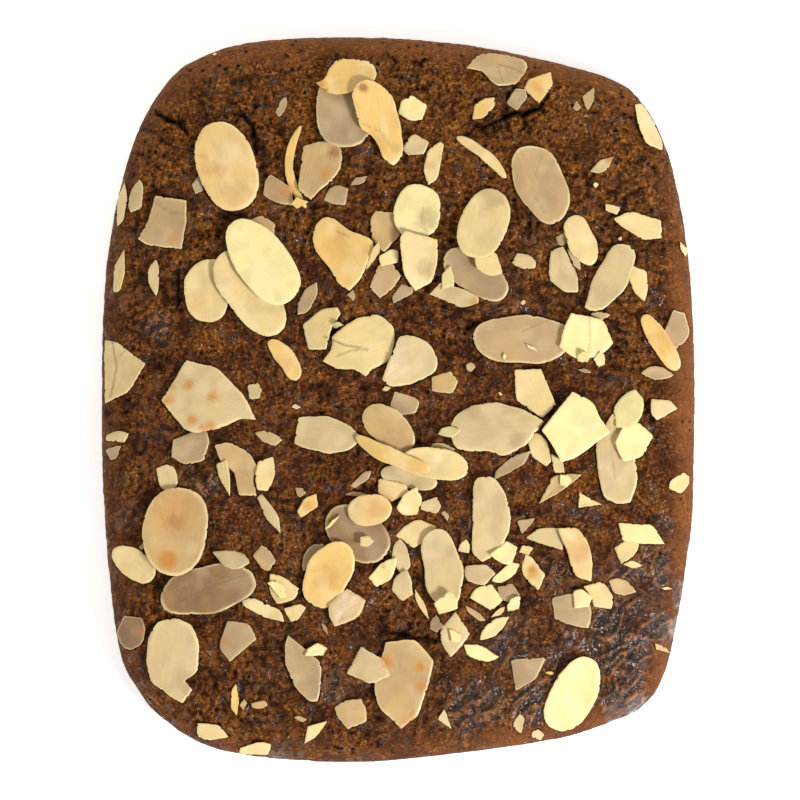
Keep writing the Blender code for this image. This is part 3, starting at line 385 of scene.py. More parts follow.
# Every almond piece from the lowest layer to the highest.  Sizes in mm, turn in
# degrees from +X.  whole: name, layer, tone, x, y, turn, length, width, bow.
# shard: name, layer, tone, corners.
# chip: layer, tone, x, y, turn, length, width, sides.
PIECES = (
    chip(0, "grey", -49.6, 53.4, 100, 4.5, 3.5, 5),
    chip(0, "cream", -45.8, 86.1, 0, 1.2, 1, 4),
    chip(0, "grey", -28.8, 72.9, 65, 5.5, 2.2, 5),
    chip(0, "cream", -68.8, 49.1, 80, 11.2, 2.5, 6),
    chip(0, "pale", -65.3, 50.4, 80, 8.5, 3.5, 6),
    shard("almond_01", 0, "wet",
          (-60.3, 50.6), (-52.6, 49.4), (-52.6, 43.6), (-53.8, 37.4), (-62.6, 38.4), (-64.8, 39.9),
          (-62.1, 44.4)),
    whole("almond_02", 0, "toast", -25.3, 57.6, 94, 20.5, 2.5, bow=3.5),
    chip(0, "wet", -30.1, 52.1, -35, 9.5, 5.5, 6),
    shard("almond_03", 0, "tan",
          (-23.6, 62.9), (-20.1, 63.9), (-16.6, 64.1), (-14.3, 63.1), (-13.8, 60.4), (-14.3, 57.4),
          (-16.3, 54.4), (-19.6, 51.9), (-21.6, 49.4), (-24.6, 51.6), (-24.8, 53.6), (-24.1, 58.6)),
    whole("almond_04", 0, "grey", -13.3, 71.9, 95, 18.8, 14.5),
    chip(0, "bright", 3.2, 72.6, 20, 7.5, 6.5, 6),
    chip(0, "pale", 4.2, 63.4, 20, 6.8, 5.5, 6),
    chip(0, "cream", 8.9, 58.9, 78, 11.5, 4, 6),
    whole("almond_05", 0, "cream", 20.9, 60.6, -40, 16, 2.8, bow=1),
    shard("almond_06", 0, "tan",
          (16.9, 82.4), (19.4, 85.6), (22.9, 86.4), (27.9, 85.6), (31.9, 84.4), (32.4, 82.6),
          (29.2, 78.1), (24.2, 77.9), (20.4, 81.9)),
    chip(0, "grey", 29.9, 74.6, 60, 5.5, 3.8, 5),
    chip(0, "toast", 21.2, 72.6, 42, 7.8, 4, 6),
    chip(0, "tan", 47.4, 74.9, 75, 6, 3, 5),
    chip(0, "grey", 44.4, 72.9, 0, 2.2, 2.5, 4),
    shard("almond_07", 0, "cream",
          (58.9, 73.4), (60.7, 73.9), (63.4, 69.9), (66.2, 63.4), (65.7, 62.1), (61.7, 63.4),
          (59.7, 67.9)),
    whole("almond_08", 0, "wet", 35.4, 53.6, -67, 20.8, 12),
    chip(0, "pale", 50.7, 58.1, 38, 7, 3.2, 5),
    chip(0, "bright", 49.2, 53.4, 0, 1.5, 1.8, 4),
    chip(0, "cream", 53.2, 47.4, -20, 4, 2.2, 5),
    shard("almond_09", 0, "cream",
          (53.4, 44.9), (57.9, 46.9), (65.2, 44.4), (65.7, 40.1), (61.2, 39.6), (55.4, 42.9)),
    chip(0, "cream", 55.2, 39.9, 0, 1.2, 1.2, 4),
    chip(0, "tan", -3.8, 42.4, 100, 10.5, 7.5, 6),
    chip(0, "wet", -3.3, 30.1, 70, 9.5, 6.5, 6),
    chip(0, "grey", 0.9, 26.4, 35, 6.5, 3.5, 5),
    shard("almond_10", 0, "toast",
          (-21.3, 39.9), (-20.8, 42.9), (-19.1, 45.1), (-16.6, 45.4), (-12.1, 41.9), (-6.8, 40.1),
          (-5.8, 38.1), (-9.3, 29.9), (-12.1, 26.9), (-14.6, 28.4), (-16.8, 32.4), (-20.6, 36.9)),
    chip(0, "grey", -11.6, 25.9, 0, 2, 3, 4),
    chip(0, "grey", -22.6, 25.1, 57, 9.5, 3.8, 6),
    whole("almond_11", 0, "grey", 19.2, 31.1, -35, 18, 9.5),
    chip(0, "pale", 31.2, 34.4, 0, 6.2, 4, 6),
    chip(0, "grey", 40.7, 39.6, 0, 4.2, 3.5, 5),
    shard("almond_12", 0, "pale",
          (37.9, 36.9), (40.9, 38.1), (42.9, 34.4), (44.7, 30.4), (44.7, 26.6), (41.4, 26.6), (37.2, 29.9)),
    chip(0, "cream", 59.7, 29.4, -70, 9.5, 5, 6),
    chip(0, "pale", 50.4, 20.9, 0, 5, 2.5, 5),
    chip(0, "cream", 71.2, 37.4, -70, 4, 2, 4),
    chip(0, "grey", 69.4, 17.2, 66, 11, 6.2, 6),
    chip(0, "wet", 64.4, 6.4, 0, 8.5, 3.5, 6),
    whole("almond_13", 0, "wet", 30.9, 14.9, 0, 25, 11.8),
    chip(0, "grey", 46.4, 7.1, 0, 3.5, 1.5, 4),
    shard("almond_14", 0, "cream", (28.9, 7.4), (35.4, 7.6), (39.2, -1.4), (35.7, -4.6), (29.2, -0.1)),
    chip(0, "cream", 35.2, -12.4, -75, 9, 5, 6),
    shard("", 0, "tan", (38.4, -18.9), (42.2, -18.4), (45.7, -18.6), (40.9, -22.6), (34.9, -25.9)),
    chip(0, "grey", 27.7, -16.6, 35, 11.5, 3.5, 5),
    shard("almond_15", 0, "pale",
          (48.9, -11.9), (49.9, -8.4), (53.2, -3.4), (55.4, -6.4), (58.7, -14.1), (59.4, -20.6),
          (57.7, -25.6), (54.9, -26.1), (51.2, -24.9), (50.4, -22.1), (49.9, -18.9)),
    chip(0, "pale", 65.7, -2.1, -20, 7, 6, 5),
    chip(0, "cream", 69.9, -20.9, 30, 6, 4.2, 6),
    shard("", 0, "cream", (44.9, -22.9), (46.7, -24.1), (50.7, -26.1), (44.7, -26.9)),
    shard("", 0, "grey", (29.4, -30.1), (33.9, -29.4), (33.2, -30.9), (30.7, -33.4)),
    shard("", 0, "pale",
          (31.7, -34.4), (34.7, -31.9), (41.2, -31.9), (41.2, -35.1), (40.9, -37.4), (36.2, -36.1)),
    shard("", 0, "cream", (53.7, -36.9), (56.7, -34.6), (59.9, -35.6), (59.2, -38.4), (55.4, -40.9)),
    chip(0, "cream", 58.7, -40.9, 0, 5, 2.2, 4),
    chip(0, "tan", 55.7, -46.6, -20, 7.5, 4.2, 6),
    chip(0, "cream", 66.9, -46.9, 0, 3, 1, 4),
    shard("", 0, "grey",
          (38.2, -49.4), (42.2, -48.1), (47.2, -48.9), (48.2, -53.4), (47.4, -56.9), (42.2, -55.9),
          (38.7, -54.4)),
    chip(0, "tan", 65.4, -62.1, -35, 5, 1.8, 4),
    shard("", 0, "grey", (27.9, -64.6), (36.7, -64.1), (34.2, -69.6), (29.2, -72.4)),
    whole("almond_16", 0, "bright", 43.4, -73.4, 62, 20, 11.2),
    chip(0, "pale", 30.2, -80.6, 85, 5, 3, 5),
    chip(0, "pale", 34.7, -83.4, 0, 3.2, 3, 5),
    chip(0, "toast", 32.2, -85.6, 0, 2, 0.8, 4),
    chip(0, "toast", 37.7, -67.9, 0, 2.5, 1.2, 4),
    chip(0, "cream", -69.6, 31.1, 78, 11.2, 3, 5),
    chip(0, "pale", -60.6, 30.4, 90, 9.2, 2.8, 6),
    whole("almond_17", 0, "cream", -47.3, 27.1, 90, 15.8, 11.5),
    chip(0, "tan", -33.6, 42.9, -30, 7.5, 5, 6),
    shard("almond_18", 0, "cream",
          (-73.1, 14.9), (-70.1, 14.4), (-62.8, 8.9), (-66.8, 2.1), (-73.1, -1.1)),
    whole("almond_19", 0, "toast", -28.1, 9.9, -55, 12, 4.8, bow=0.8),
    chip(0, "grey", -51.3, -11.9, 20, 10.5, 8, 6),
    chip(0, "pale", -35.6, 2.1, 10, 3.5, 3.8, 5),
    chip(0, "pale", -25.3, -1.9, 0, 2.5, 1.5, 4),
    chip(0, "wet", -32.3, -9.6, -15, 7.2, 3.2, 6),
    chip(0, "cream", -70.1, -9.4, 8, 6, 3.2, 5),
    chip(0, "wet", -70.8, -13.1, 20, 4.2, 3, 5),
    shard("almond_20", 0, "tan",
          (-45.6, -11.4), (-41.8, -10.4), (-37.3, -13.1), (-34.8, -16.9), (-36.1, -19.6),
          (-35.1, -24.1), (-39.6, -23.6), (-40.8, -17.9), (-44.3, -14.9)),
    chip(0, "cream", -43.1, -19.4, -80, 9.2, 3, 5),
    chip(0, "pale", -32.3, -27.4, -60, 11, 3.2, 5),
    chip(0, "pale", -57.3, -19.4, 100, 8, 5, 6),
    whole("almond_21", 0, "cream", -65.6, -40.9, -35, 12.5, 7),
    chip(0, "pale", -63.6, -36.4, 0, 2, 2.5, 4),
    chip(0, "wet", -33.1, -39.9, -70, 6.8, 5, 6),
    chip(0, "cream", -28.8, -47.4, -40, 9, 6.5, 6),
    chip(0, "cream", -33.6, -52.1, -28, 12, 3.5, 6),
    chip(0, "cream", -25.3, -52.9, 10, 5.5, 4.2, 5),
    chip(0, "dark", -66.6, -58.4, 60, 9, 7.5, 7),
    shard("almond_22", 0, "pale",
          (-59.6, -54.9), (-55.1, -54.1), (-51.3, -56.1), (-49.3, -60.6), (-49.8, -67.6),
          (-53.1, -69.9), (-51.1, -72.1), (-53.6, -75.4), (-55.8, -74.4), (-61.3, -70.6), (-62.6, -65.1),
          (-62.1, -58.9)),
    chip(0, "grey", -40.1, -59.4, 50, 10.5, 8.5, 5),
    chip(0, "toast", -40.6, -74.4, 88, 8, 2, 5),
    chip(0, "tan", -38.6, -75.6, 0, 2, 2.8, 4),
    chip(0, "tan", -34.6, -75.9, 0, 4.2, 2.2, 5),
    chip(0, "cream", -47.1, -82.9, -15, 8.5, 5, 5),
    chip(0, "cream", -35.8, -86.9, 8, 8.5, 3.8, 5),
    shard("almond_23", 0, "grey",
          (-28.1, -60.4), (-27.3, -58.6), (-23.8, -61.4), (-19.1, -65.4), (-19.3, -71.9),
          (-20.1, -75.1), (-22.1, -75.1), (-25.6, -71.6), (-28.1, -65.6)),
    chip(0, "grey", -18.1, -56.9, -65, 3.5, 1.2, 4),
    chip(0, "grey", -21.1, -38.9, 60, 8.5, 4.5, 6),
    whole("almond_24", 0, "dark", -10.1, -33.4, -35, 17.5, 12),
    chip(0, "grey", -24.3, -22.9, 0, 2.8, 2.5, 5),
    chip(0, "toast", -22.6, -26.4, 50, 7, 4, 5),
    shard("almond_25", 0, "pale",
          (-24.6, -4.4), (-17.6, -3.9), (-12.1, -6.4), (-9.1, -9.4), (-11.6, -12.4), (-17.1, -13.6),
          (-23.1, -12.1), (-25.8, -10.9), (-25.1, -6.4)),
    chip(0, "grey", 1.7, -1.4, 0, 7.5, 6, 6),
    whole("almond_26", 0, "pale", 2.7, -19.4, -12, 14.5, 5.5),
    chip(0, "tan", 10.7, -11.9, 0, 6.5, 2.5, 5),
    chip(0, "peach", -1.8, -22.4, -25, 8.5, 5.5, 5),
    chip(0, "pale", 8.2, -26.6, 0, 5.2, 4.2, 5),
    chip(0, "grey", 11.7, -28.9, 0, 2, 2.8, 4),
    chip(0, "cream", 4.9, -32.6, 20, 10.5, 6.5, 6),
    chip(0, "grey", -9.3, -19.9, 40, 6.5, 2.2, 5),
    chip(0, "grey", -10.1, -23.4, 0, 5.5, 1.5, 4),
    chip(0, "pale", 0.7, -38.6, -80, 9.5, 4.8, 6),
    chip(0, "pale", 1.2, -46.4, 80, 8, 5.5, 6),
    chip(0, "cream", 5.7, -51.1, -65, 8.5, 1.8, 5),
    shard("almond_27", 0, "pale",
          (18.7, -20.6), (19.7, -19.1), (23.7, -19.1), (26.7, -23.1), (27.9, -28.9), (27.7, -32.6),
          (25.4, -37.4), (20.9, -40.4), (18.2, -38.1), (18.4, -30.1)),
    chip(0, "cream", 16.4, -36.6, 0, 3.2, 3.5, 5),
    chip(0, "pale", 19.9, -43.4, 0, 8, 5.5, 6),
    chip(0, "bright", 26.9, -42.9, 35, 8.2, 3.5, 5),
    chip(0, "cream", 31.9, -37.4, 0, 3.5, 2.5, 5),
    chip(0, "cream", 33.2, -43.1, -65, 9.5, 5, 6),
    chip(0, "grey", 27.4, -48.1, 0, 5.5, 5, 5),
    chip(0, "cream", 24.7, -52.9, 30, 4.5, 1.8, 4),
    chip(0, "bright", 24.2, -56.4, 42, 9.5, 3.5, 6),
    chip(0, "wet", 19.2, -53.4, -35, 6.5, 1.8, 5),
    chip(0, "pale", 13.7, -58.9, 80, 11.5, 7.5, 6),
    chip(0, "grey", 9.4, -55.6, 0, 3.5, 4.5, 5),
    chip(0, "bright", 19.9, -63.1, -12, 9.5, 4, 5),
    shard("almond_28", 0, "tan",
          (-3.1, -60.1), (4.2, -59.6), (8.9, -64.6), (7.4, -71.1), (4.9, -78.6), (0.7, -81.9),
          (-4.8, -76.4), (-6.1, -71.4)),
    chip(0, "tan", -11.6, -77.6, 0, 8, 7.5, 7),
    chip(0, "cream", -20.8, -82.4, 42, 8.2, 3.5, 4),
    chip(0, "wet", -24.3, -79.4, 0, 3.5, 1.8, 4),
    chip(0, "pale", 10.7, -78.4, -50, 5, 3, 3),
    chip(0, "cream", -3.1, 2.6, 0, 2.5, 1.5, 4),
    shard("almond_29", 0, "cream",
          (-16.6, 15.6), (-14.6, 17.4), (-9.8, 20.4), (-5.1, 21.4), (-1.3, 18.4), (-0.6, 15.4),
          (-2.1, 9.9), (-5.8, 7.9), (-8.1, 5.6), (-10.8, 7.6), (-15.1, 7.4), (-18.8, 9.6), (-17.1, 11.4),
          (-16.1, 13.6)),
    chip(0, "tan", 11.7, 4.1, 10, 6.8, 5.8, 5),
    chip(0, "grey", -15.3, 50.9, 20, 6.8, 5.5, 6),
    chip(0, "grey", -10.1, 54.1, 25, 5, 2.2, 4),
    chip(0, "tan", 17.9, 8.1, 0, 2.5, 2.5, 5),
    chip(0, "cream", 30.9, 24.1, 0, 1.5, 1.5, 4),
    chip(0, "cream", 25.4, 1.4, 0, 1.2, 1, 4),
    whole("almond_30", 1, "peach", -42.6, 57.9, 105, 22.8, 14.5),
    chip(1, "toast", -24.3, 48.6, 0, 4.5, 2.8, 4),
    shard("almond_31", 1, "toast",
          (-20.6, 78.6), (-18.3, 79.4), (-17.1, 82.4), (-15.1, 84.6), (-10.8, 84.4), (-6.6, 83.9),
          (-5.1, 81.4), (-5.8, 78.9), (-11.6, 76.1), (-16.6, 75.6)),
    chip(1, "toast", 34.7, 77.6, 50, 8, 6, 5),
    whole("almond_32", 1, "bright", 4.7, 46.6, 80, 13.5, 11.8),
    chip(1, "bright", -2.1, 35.4, 20, 5.5, 3.8, 5),
    chip(1, "cream", -6.1, 35.9, 65, 8, 2, 5),
    chip(1, "cream", 21.7, 33.9, -20, 8.5, 6, 6),
    shard("almond_33", 1, "pale",
          (7.7, 26.1), (10.4, 28.9), (16.2, 27.4), (19.9, 25.4), (19.9, 23.9), (15.7, 22.6), (11.7, 24.6)),
    chip(1, "pale", 43.7, 34.9, -65, 6.2, 2.5, 5),
    shard("almond_34", 1, "pale",
          (52.2, 36.9), (53.7, 38.6), (56.2, 38.9), (58.7, 37.4), (58.9, 34.9), (56.7, 27.9),
          (51.2, 22.4), (47.9, 21.6), (46.2, 22.9), (48.4, 29.9)),
    whole("almond_35", 1, "toast", 65.2, 14.1, -58, 16.2, 5),
    chip(1, "bright", 32.9, 12.9, -35, 3.5, 1, 4),
    chip(1, "bright", 26.4, 10.6, 0, 1.2, 2, 4),
    shard("almond_36", 1, "bright",
          (42.9, 21.4), (50.9, 19.9), (53.4, 14.1), (51.7, 11.9), (48.4, 10.4), (44.2, 9.9),
          (39.9, 13.1), (40.9, 17.4)),
    shard("almond_37", 1, "pale",
          (13.2, -5.9), (14.4, -3.6), (18.4, -1.4), (24.7, -0.6), (30.9, -2.4), (36.2, -5.4),
          (32.2, -10.9), (26.2, -14.4), (22.4, -12.6), (17.9, -12.9), (14.4, -12.4), (13.2, -10.4)),
    chip(1, "cream", 39.7, -16.1, -60, 6, 3.5, 4),
    chip(1, "bright", 41.4, -20.1, 0, 3, 3.2, 5),
    chip(1, "bright", 57.7, -10.1, 60, 10.5, 8, 6),
    shard("almond_38", 1, "peach",
          (39.7, -32.1), (44.2, -31.6), (47.2, -35.1), (48.4, -41.1), (47.9, -45.1), (43.9, -43.9),
          (42.2, -39.1)),
    shard("", 1, "bright",
          (54.7, -30.6), (58.7, -30.9), (62.9, -30.9), (64.7, -33.4), (66.2, -35.9), (61.2, -35.9),
          (55.7, -35.1)),
    shard("", 1, "cream",
          (45.9, -46.4), (50.4, -45.1), (51.9, -46.4), (53.7, -49.4), (52.9, -52.1), (48.7, -51.4),
          (48.2, -49.4)),
    whole("almond_39", 1, "cream", -36.8, 26.6, -52, 24.5, 12.5),
    shard("almond_40", 1, "pale",
          (-52.8, 9.9), (-45.1, 7.9), (-38.1, 0.9), (-35.3, -5.1), (-38.8, -4.6), (-44.6, -7.1),
          (-50.8, -8.6), (-53.3, -7.4), (-58.8, -0.1), (-55.1, 5.4)),
    chip(1, "cream", -33.1, -18.6, 65, 9, 5.5, 6),
    whole("almond_41", 1, "dark", -47.3, -47.1, 14, 24.5, 11.5),
    chip(1, "bright", -29.8, -47.1, -40, 6, 3, 5),
    chip(1, "cream", -20.3, -62.1, 15, 6, 3.5, 5),
    whole("almond_42", 1, "toast", -17.3, -43.4, 60, 17.5, 11),
    chip(1, "bright", -16.3, -30.6, 45, 5.5, 1, 4),
    chip(1, "cream", -8.1, -35.1, 0, 3.5, 2.8, 5),
    whole("almond_43", 1, "peach", -7.1, -27.4, 8, 11, 7.8),
    whole("almond_44", 1, "tan", -2.3, -7.1, -40, 15, 9),
    chip(1, "cream", 2.7, -25.9, 60, 8, 5.5, 6),
    chip(1, "bright", -3.8, -42.9, 35, 9, 5, 5),
    whole("almond_45", 1, "pale", 10.9, -41.9, -80, 20, 9.5),
    chip(1, "bright", 26.4, -38.4, 35, 6.8, 5.5, 5),
    chip(1, "bright", 21.9, -48.9, -10, 8.5, 6.5, 5),
    chip(1, "bright", 28.9, -50.9, 40, 5, 3.2, 5),
    chip(1, "bright", 14.2, -58.6, -50, 4.5, 3, 4),
    chip(1, "pale", -7.8, -66.1, -25, 10, 7.5, 5),
    shard("almond_46", 1, "pale",
          (0.2, 15.6), (3.2, 16.1), (6.2, 15.1), (8.4, 12.9), (9.9, 9.4), (9.4, 6.9), (3.2, 3.6),
          (-2.1, 3.1), (-4.1, 4.9)),
    shard("almond_47", 1, "cream",
          (-23.8, 18.6), (-19.1, 22.4), (-15.1, 22.9), (-14.1, 21.4), (-16.8, 17.4), (-17.8, 12.4),
          (-22.3, 12.4)),
    shard("almond_48", 2, "toast",
          (-11.6, 76.1), (-9.6, 78.9), (-6.6, 79.1), (-3.6, 77.6), (-1.1, 74.9), (0.7, 67.9),
          (1.4, 60.9), (-1.1, 58.1), (-3.8, 59.6), (-4.8, 62.9), (-6.6, 65.6), (-9.6, 66.9)),
    shard("almond_49", 2, "cream",
          (0.2, 40.4), (1.7, 41.9), (9.7, 39.6), (9.9, 34.4), (8.7, 29.4), (4.2, 26.9),
          (1.4, 30.9)),
    whole("almond_50", 2, "cream", 21.2, 43.6, 68, 18, 11.8),
    chip(2, "bright", 12.4, 29.9, 90, 6, 3.2, 5),
    whole("almond_51", 2, "cream", 45.4, 39.6, -65, 13, 7),
    chip(2, "bright", 45.9, 10.4, 10, 3.5, 3, 5),
    chip(2, "cream", 49.9, 9.9, 30, 3, 3.5, 5),
    chip(2, "bright", 12.7, -7.9, 5, 6, 3.2, 5),
    shard("almond_52", 2, "bright",
          (35.4, -7.6), (43.2, 1.9), (48.4, -0.6), (50.4, -5.1), (52.7, -8.1), (44.2, -14.4),
          (40.4, -15.6), (38.4, -11.4)),
    chip(2, "bright", 57.2, -3.1, 75, 10.5, 7.5, 7),
    shard("", 2, "bright", (43.4, -47.6), (45.4, -46.9), (48.2, -48.9), (47.4, -51.4), (43.7, -51.9)),
    whole("almond_53", 2, "bright", -33.6, 34.1, -52, 24.2, 13.2),
    whole("almond_54", 2, "tan", -55.3, -32.6, 80, 22, 16),
    chip(2, "pale", -41.3, -39.6, -15, 10, 4.5, 6),
    chip(2, "tan", -12.8, -51.4, 25, 10, 8, 6),
    whole("almond_55", 2, "cream", 9.2, -15.9, -10, 16.5, 8),
    chip(2, "bright", 12.2, -50.9, 30, 6, 5, 5),
    chip(2, "pale", -15.1, 18.4, 0, 3, 1.8, 4),
    whole("almond_56", 3, "toast", -1.3, -13.9, -24, 20.5, 4.2, bow=-0.8),
)


# ---------------------------------------------------------------- numbers

def linear(colour):
    """Linear colour from an sRGB one with values from 0 to 255."""
    result = []
    for value in colour:
        share = value / 255.0
        result.append(share / 12.92 if share <= 0.04045 else ((share + 0.055) / 1.055) ** 2.4)
    return np.array(result)


def smooth(low, high, value):
    """Smooth step from 0 at low to 1 at high."""
    share = np.clip((value - low) / (high - low), 0.0, 1.0)
    return share * share * (3.0 - 2.0 * share)


def lattice_noise(x, y, wave, seed):
    """Smooth noise from -1 to 1 over arrays of positions, on a seeded lattice."""
    table = np.random.RandomState(seed).uniform(-1.0, 1.0, (LATTICE_CELLS, LATTICE_CELLS))
    turn = LATTICE_TURN * seed
    u = (x * math.cos(turn) - y * math.sin(turn)) / wave + LATTICE_CELLS / 2.0
    v = (x * math.sin(turn) + y * math.cos(turn)) / wave + LATTICE_CELLS / 2.0
    i = np.floor(u).astype(int)
    j = np.floor(v).astype(int)
    a = u - i
    b = v - j
    a = a * a * (3.0 - 2.0 * a)
    b = b * b * (3.0 - 2.0 * b)
    i0, j0 = i % LATTICE_CELLS, j % LATTICE_CELLS
    i1, j1 = (i + 1) % LATTICE_CELLS, (j + 1) % LATTICE_CELLS
    low = table[j0, i0] * (1.0 - a) + table[j0, i1] * a
    high = table[j1, i0] * (1.0 - a) + table[j1, i1] * a
    return low * (1.0 - b) + high * b


def named_noise(name, x, y):
    """The noise of that name over arrays of positions."""
    return lattice_noise(x, y, *NOISES[name])


def along_across(x, y, angle):
    """Positions measured along and across a direction."""
    return x * math.cos(angle) + y * math.sin(angle), -x * math.sin(angle) + y * math.cos(angle)


# ---------------------------------------------------------------- slab shape

def spline_point(points, index, part):
    """Point on a closed Catmull-Rom curve through the given points."""
    count = len(points)
    p0 = Vector(points[(index - 1) % count])
    p1 = Vector(points[index % count])
    p2 = Vector(points[(index + 1) % count])
    p3 = Vector(points[(index + 2) % count])
    square = part * part
    cube = square * part
    return 0.5 * (
        2.0 * p1
        + (p2 - p0) * part
        + (2.0 * p0 - 5.0 * p1 + 4.0 * p2 - p3) * square
        + (3.0 * p1 - 3.0 * p2 + p3 - p0) * cube
    )


def rim_table():
    """The rim as angle and radius about the middle of its bounding box."""
    curve = []
    for index in range(len(RIM)):
        for step in range(SPLINE_STEPS):
            curve.append(tuple(spline_point(RIM, index, step / SPLINE_STEPS)))
    points = np.array(curve)
    points -= (points.max(axis=0) + points.min(axis=0)) / 2.0
    angles = np.arctan2(points[:, 1], points[:, 0])
    radii = np.hypot(points[:, 0], points[:, 1])
    order = np.argsort(angles)
    return angles[order], radii[order]


RIM_ANGLES, RIM_RADII = rim_table()


def rim_radius(angle):
    """Distance from the middle to the rim, for an array of directions."""
    return np.interp(angle, RIM_ANGLES, RIM_RADII, period=2.0 * math.pi)


def rolled_height(x, y):
    """Height of the smooth slab, and how far in from the rim each spot is (0 to 1)."""
    radius = np.hypot(x, y)
    rim = rim_radius(np.arctan2(y, x))
    depth = np.clip((rim - radius) / SHOULDER_WIDTH, 0.0, 1.0)
    roll = (1.0 - (1.0 - depth) ** SHOULDER_POWER) ** (1.0 / SHOULDER_POWER)
    edge = SLAB_THICKNESS - CROWN_RISE
    height = WAIST_HEIGHT + (edge - WAIST_HEIGHT) * roll
    height += CROWN_RISE * depth * (1.0 - (radius / rim) ** 2)
    return height, depth


class Field:
    """Square raster of values over the slab, read back smoothly at any spot."""

    def __init__(self, cell):
        """An empty raster with cells of the given width."""
        self.cell = cell
        self.x0 = -SLAB_HALF_X - FIELD_MARGIN
        self.y0 = -SLAB_HALF_Y - FIELD_MARGIN
        columns = int(-2.0 * self.x0 / cell) + 2
        rows = int(-2.0 * self.y0 / cell) + 2
        xs = self.x0 + cell * np.arange(columns)
        ys = self.y0 + cell * np.arange(rows)
        self.x, self.y = np.meshgrid(xs, ys)
        self.values = np.zeros_like(self.x)

    def window(self, low_x, high_x, low_y, high_y):
        """Slices of the raster that cover a box."""
        rows, columns = self.values.shape
        i0 = max(int((low_x - self.x0) / self.cell), 0)
        i1 = min(int((high_x - self.x0) / self.cell) + 2, columns)
        j0 = max(int((low_y - self.y0) / self.cell), 0)
        j1 = min(int((high_y - self.y0) / self.cell) + 2, rows)
        return slice(j0, j1), slice(i0, i1)

    def read(self, x, y):
        """Values at arrays of spots."""
        return read_raster(self, self.values, x, y)


def read_raster(field, values, x, y):
    """Bilinear values of a raster at arrays of spots."""
    u = np.clip((x - field.x0) / field.cell, 0.0, values.shape[1] - 1.001)
    v = np.clip((y - field.y0) / field.cell, 0.0, values.shape[0] - 1.001)
    i = u.astype(int)
    j = v.astype(int)
    a = u - i
    b = v - j
    low = values[j, i] * (1.0 - a) + values[j, i + 1] * a
    high = values[j + 1, i] * (1.0 - a) + values[j + 1, i + 1] * a
    return low * (1.0 - b) + high * b


def relief_raster(field):
    """Broad swells and lumps, the same as the solid's, over the fine raster."""
    coarse = Field(RELIEF_CELL)
    rows, columns = coarse.values.shape
    for j in range(rows):
        for i in range(columns):
            x = coarse.x[j, i]
            y = coarse.y[j, i]
            broad = noise.noise(Vector((x / BROAD_WAVE, y / BROAD_WAVE, BROAD_LEVEL)))
            lumps = noise.noise(Vector((x / LUMP_WAVE, y / LUMP_WAVE, LUMP_LEVEL)))
            coarse.values[j, i] = broad * BROAD_RELIEF + lumps * LUMP_RELIEF
    return coarse.read(field.x, field.y)


def middle_of(outline):
    """Mean of the corners of an outline."""
    count = len(outline)
    return (sum(x for x, _ in outline) / count, sum(y for _, y in outline) / count)


def calm_raster(field):
    """1 on open dough, CALM_LEVEL where the slices of the lowest layers press it flat."""
    calm = np.ones_like(field.x)
    for piece in PIECES:
        if not piece["name"] or piece["layer"] > 1:
            continue
        outline = piece["coarse"]
        middle = middle_of(outline)
        for (x0, y0), (x1, y1) in zip(outline, outline[1:]):
            reach = math.hypot((x0 + x1) / 2.0 - middle[0], (y0 + y1) / 2.0 - middle[1])
            x = (middle[0] + (x0 + x1) / 2.0) / 2.0
            y = (middle[1] + (y0 + y1) / 2.0) / 2.0
            radius = reach / 2.0 + CALM_MARGIN
            far = radius * (1.0 + CALM_FADE)
            window = field.window(x - far, x + far, y - far, y + far)
            distance = np.hypot(field.x[window] - x, field.y[window] - y) / radius
            rise = np.clip((distance - 1.0) / CALM_FADE, 0.0, 1.0)
            calm[window] = np.minimum(calm[window], CALM_LEVEL + (1.0 - CALM_LEVEL) * rise)
    return calm


def polygon_distance(outline, x, y):
    """Signed distance to an outline over arrays: negative inside."""
    nearest = np.full(x.shape, FAR)
    inside = np.zeros(x.shape, dtype=bool)
    for (x0, y0), (x1, y1) in zip(outline, outline[1:] + outline[:1]):
        ex, ey = x1 - x0, y1 - y0
        share = np.clip(((x - x0) * ex + (y - y0) * ey) / (ex * ex + ey * ey + TINY), 0.0, 1.0)
        nearest = np.minimum(nearest, np.hypot(x - x0 - ex * share, y - y0 - ey * share))
        crosses = (y0 > y) != (y1 > y)
        step = y1 - y0 if abs(y1 - y0) > TINY else TINY
        inside ^= crosses & (x < ex * (y - y0) / step + x0)
    return np.where(inside, -nearest, nearest)


def almond_rasters(field):
    """Where almonds lie on the dough, and the dough banked round their edges."""
    cover = np.zeros_like(field.x)
    bank = np.zeros_like(field.x)
    margin = ALMOND_MARGIN
    for piece in PIECES:
        outline = piece["coarse"]
        xs = [x for x, _ in outline]
        ys = [y for _, y in outline]
        window = field.window(min(xs) - margin, max(xs) + margin, min(ys) - margin, max(ys) + margin)
        distance = polygon_distance(outline, field.x[window], field.y[window])
        cover[window] = np.maximum(cover[window], 1.0 - smooth(*COVER_EDGE, distance))
        if piece["layer"] <= 1:
            rise = np.exp(-((distance - BANK_START) / BANK_REACH) ** 2)
            bank[window] = np.maximum(bank[window], rise)
    return cover, bank


def crack_raster(field):
    """Depth of the baking cracks."""
    depth = np.zeros_like(field.x)
    x = field.x + CRACK_WANDER * named_noise("crack_x", field.x, field.y)
    y = field.y + CRACK_WANDER * named_noise("crack_y", field.x, field.y)
    for half_width, deep, line in CRACKS:
        last = len(line) - 1
        for index in range(last):
            (x0, y0), (x1, y1) = line[index], line[index + 1]
            ex, ey = x1 - x0, y1 - y0
            px, py = x - x0, y - y0
            share = np.clip((px * ex + py * ey) / (ex * ex + ey * ey), 0.0, 1.0)
            distance = np.hypot(px - ex * share, py - ey * share)
            taper = 0.35 + 0.65 * np.sin(math.pi * (index + share + 0.35) / (last + 0.7))
            groove = deep * taper * (1.0 - smooth(0.15, 1.0, distance / (half_width * taper)))
            depth = np.maximum(depth, groove)
    return depth


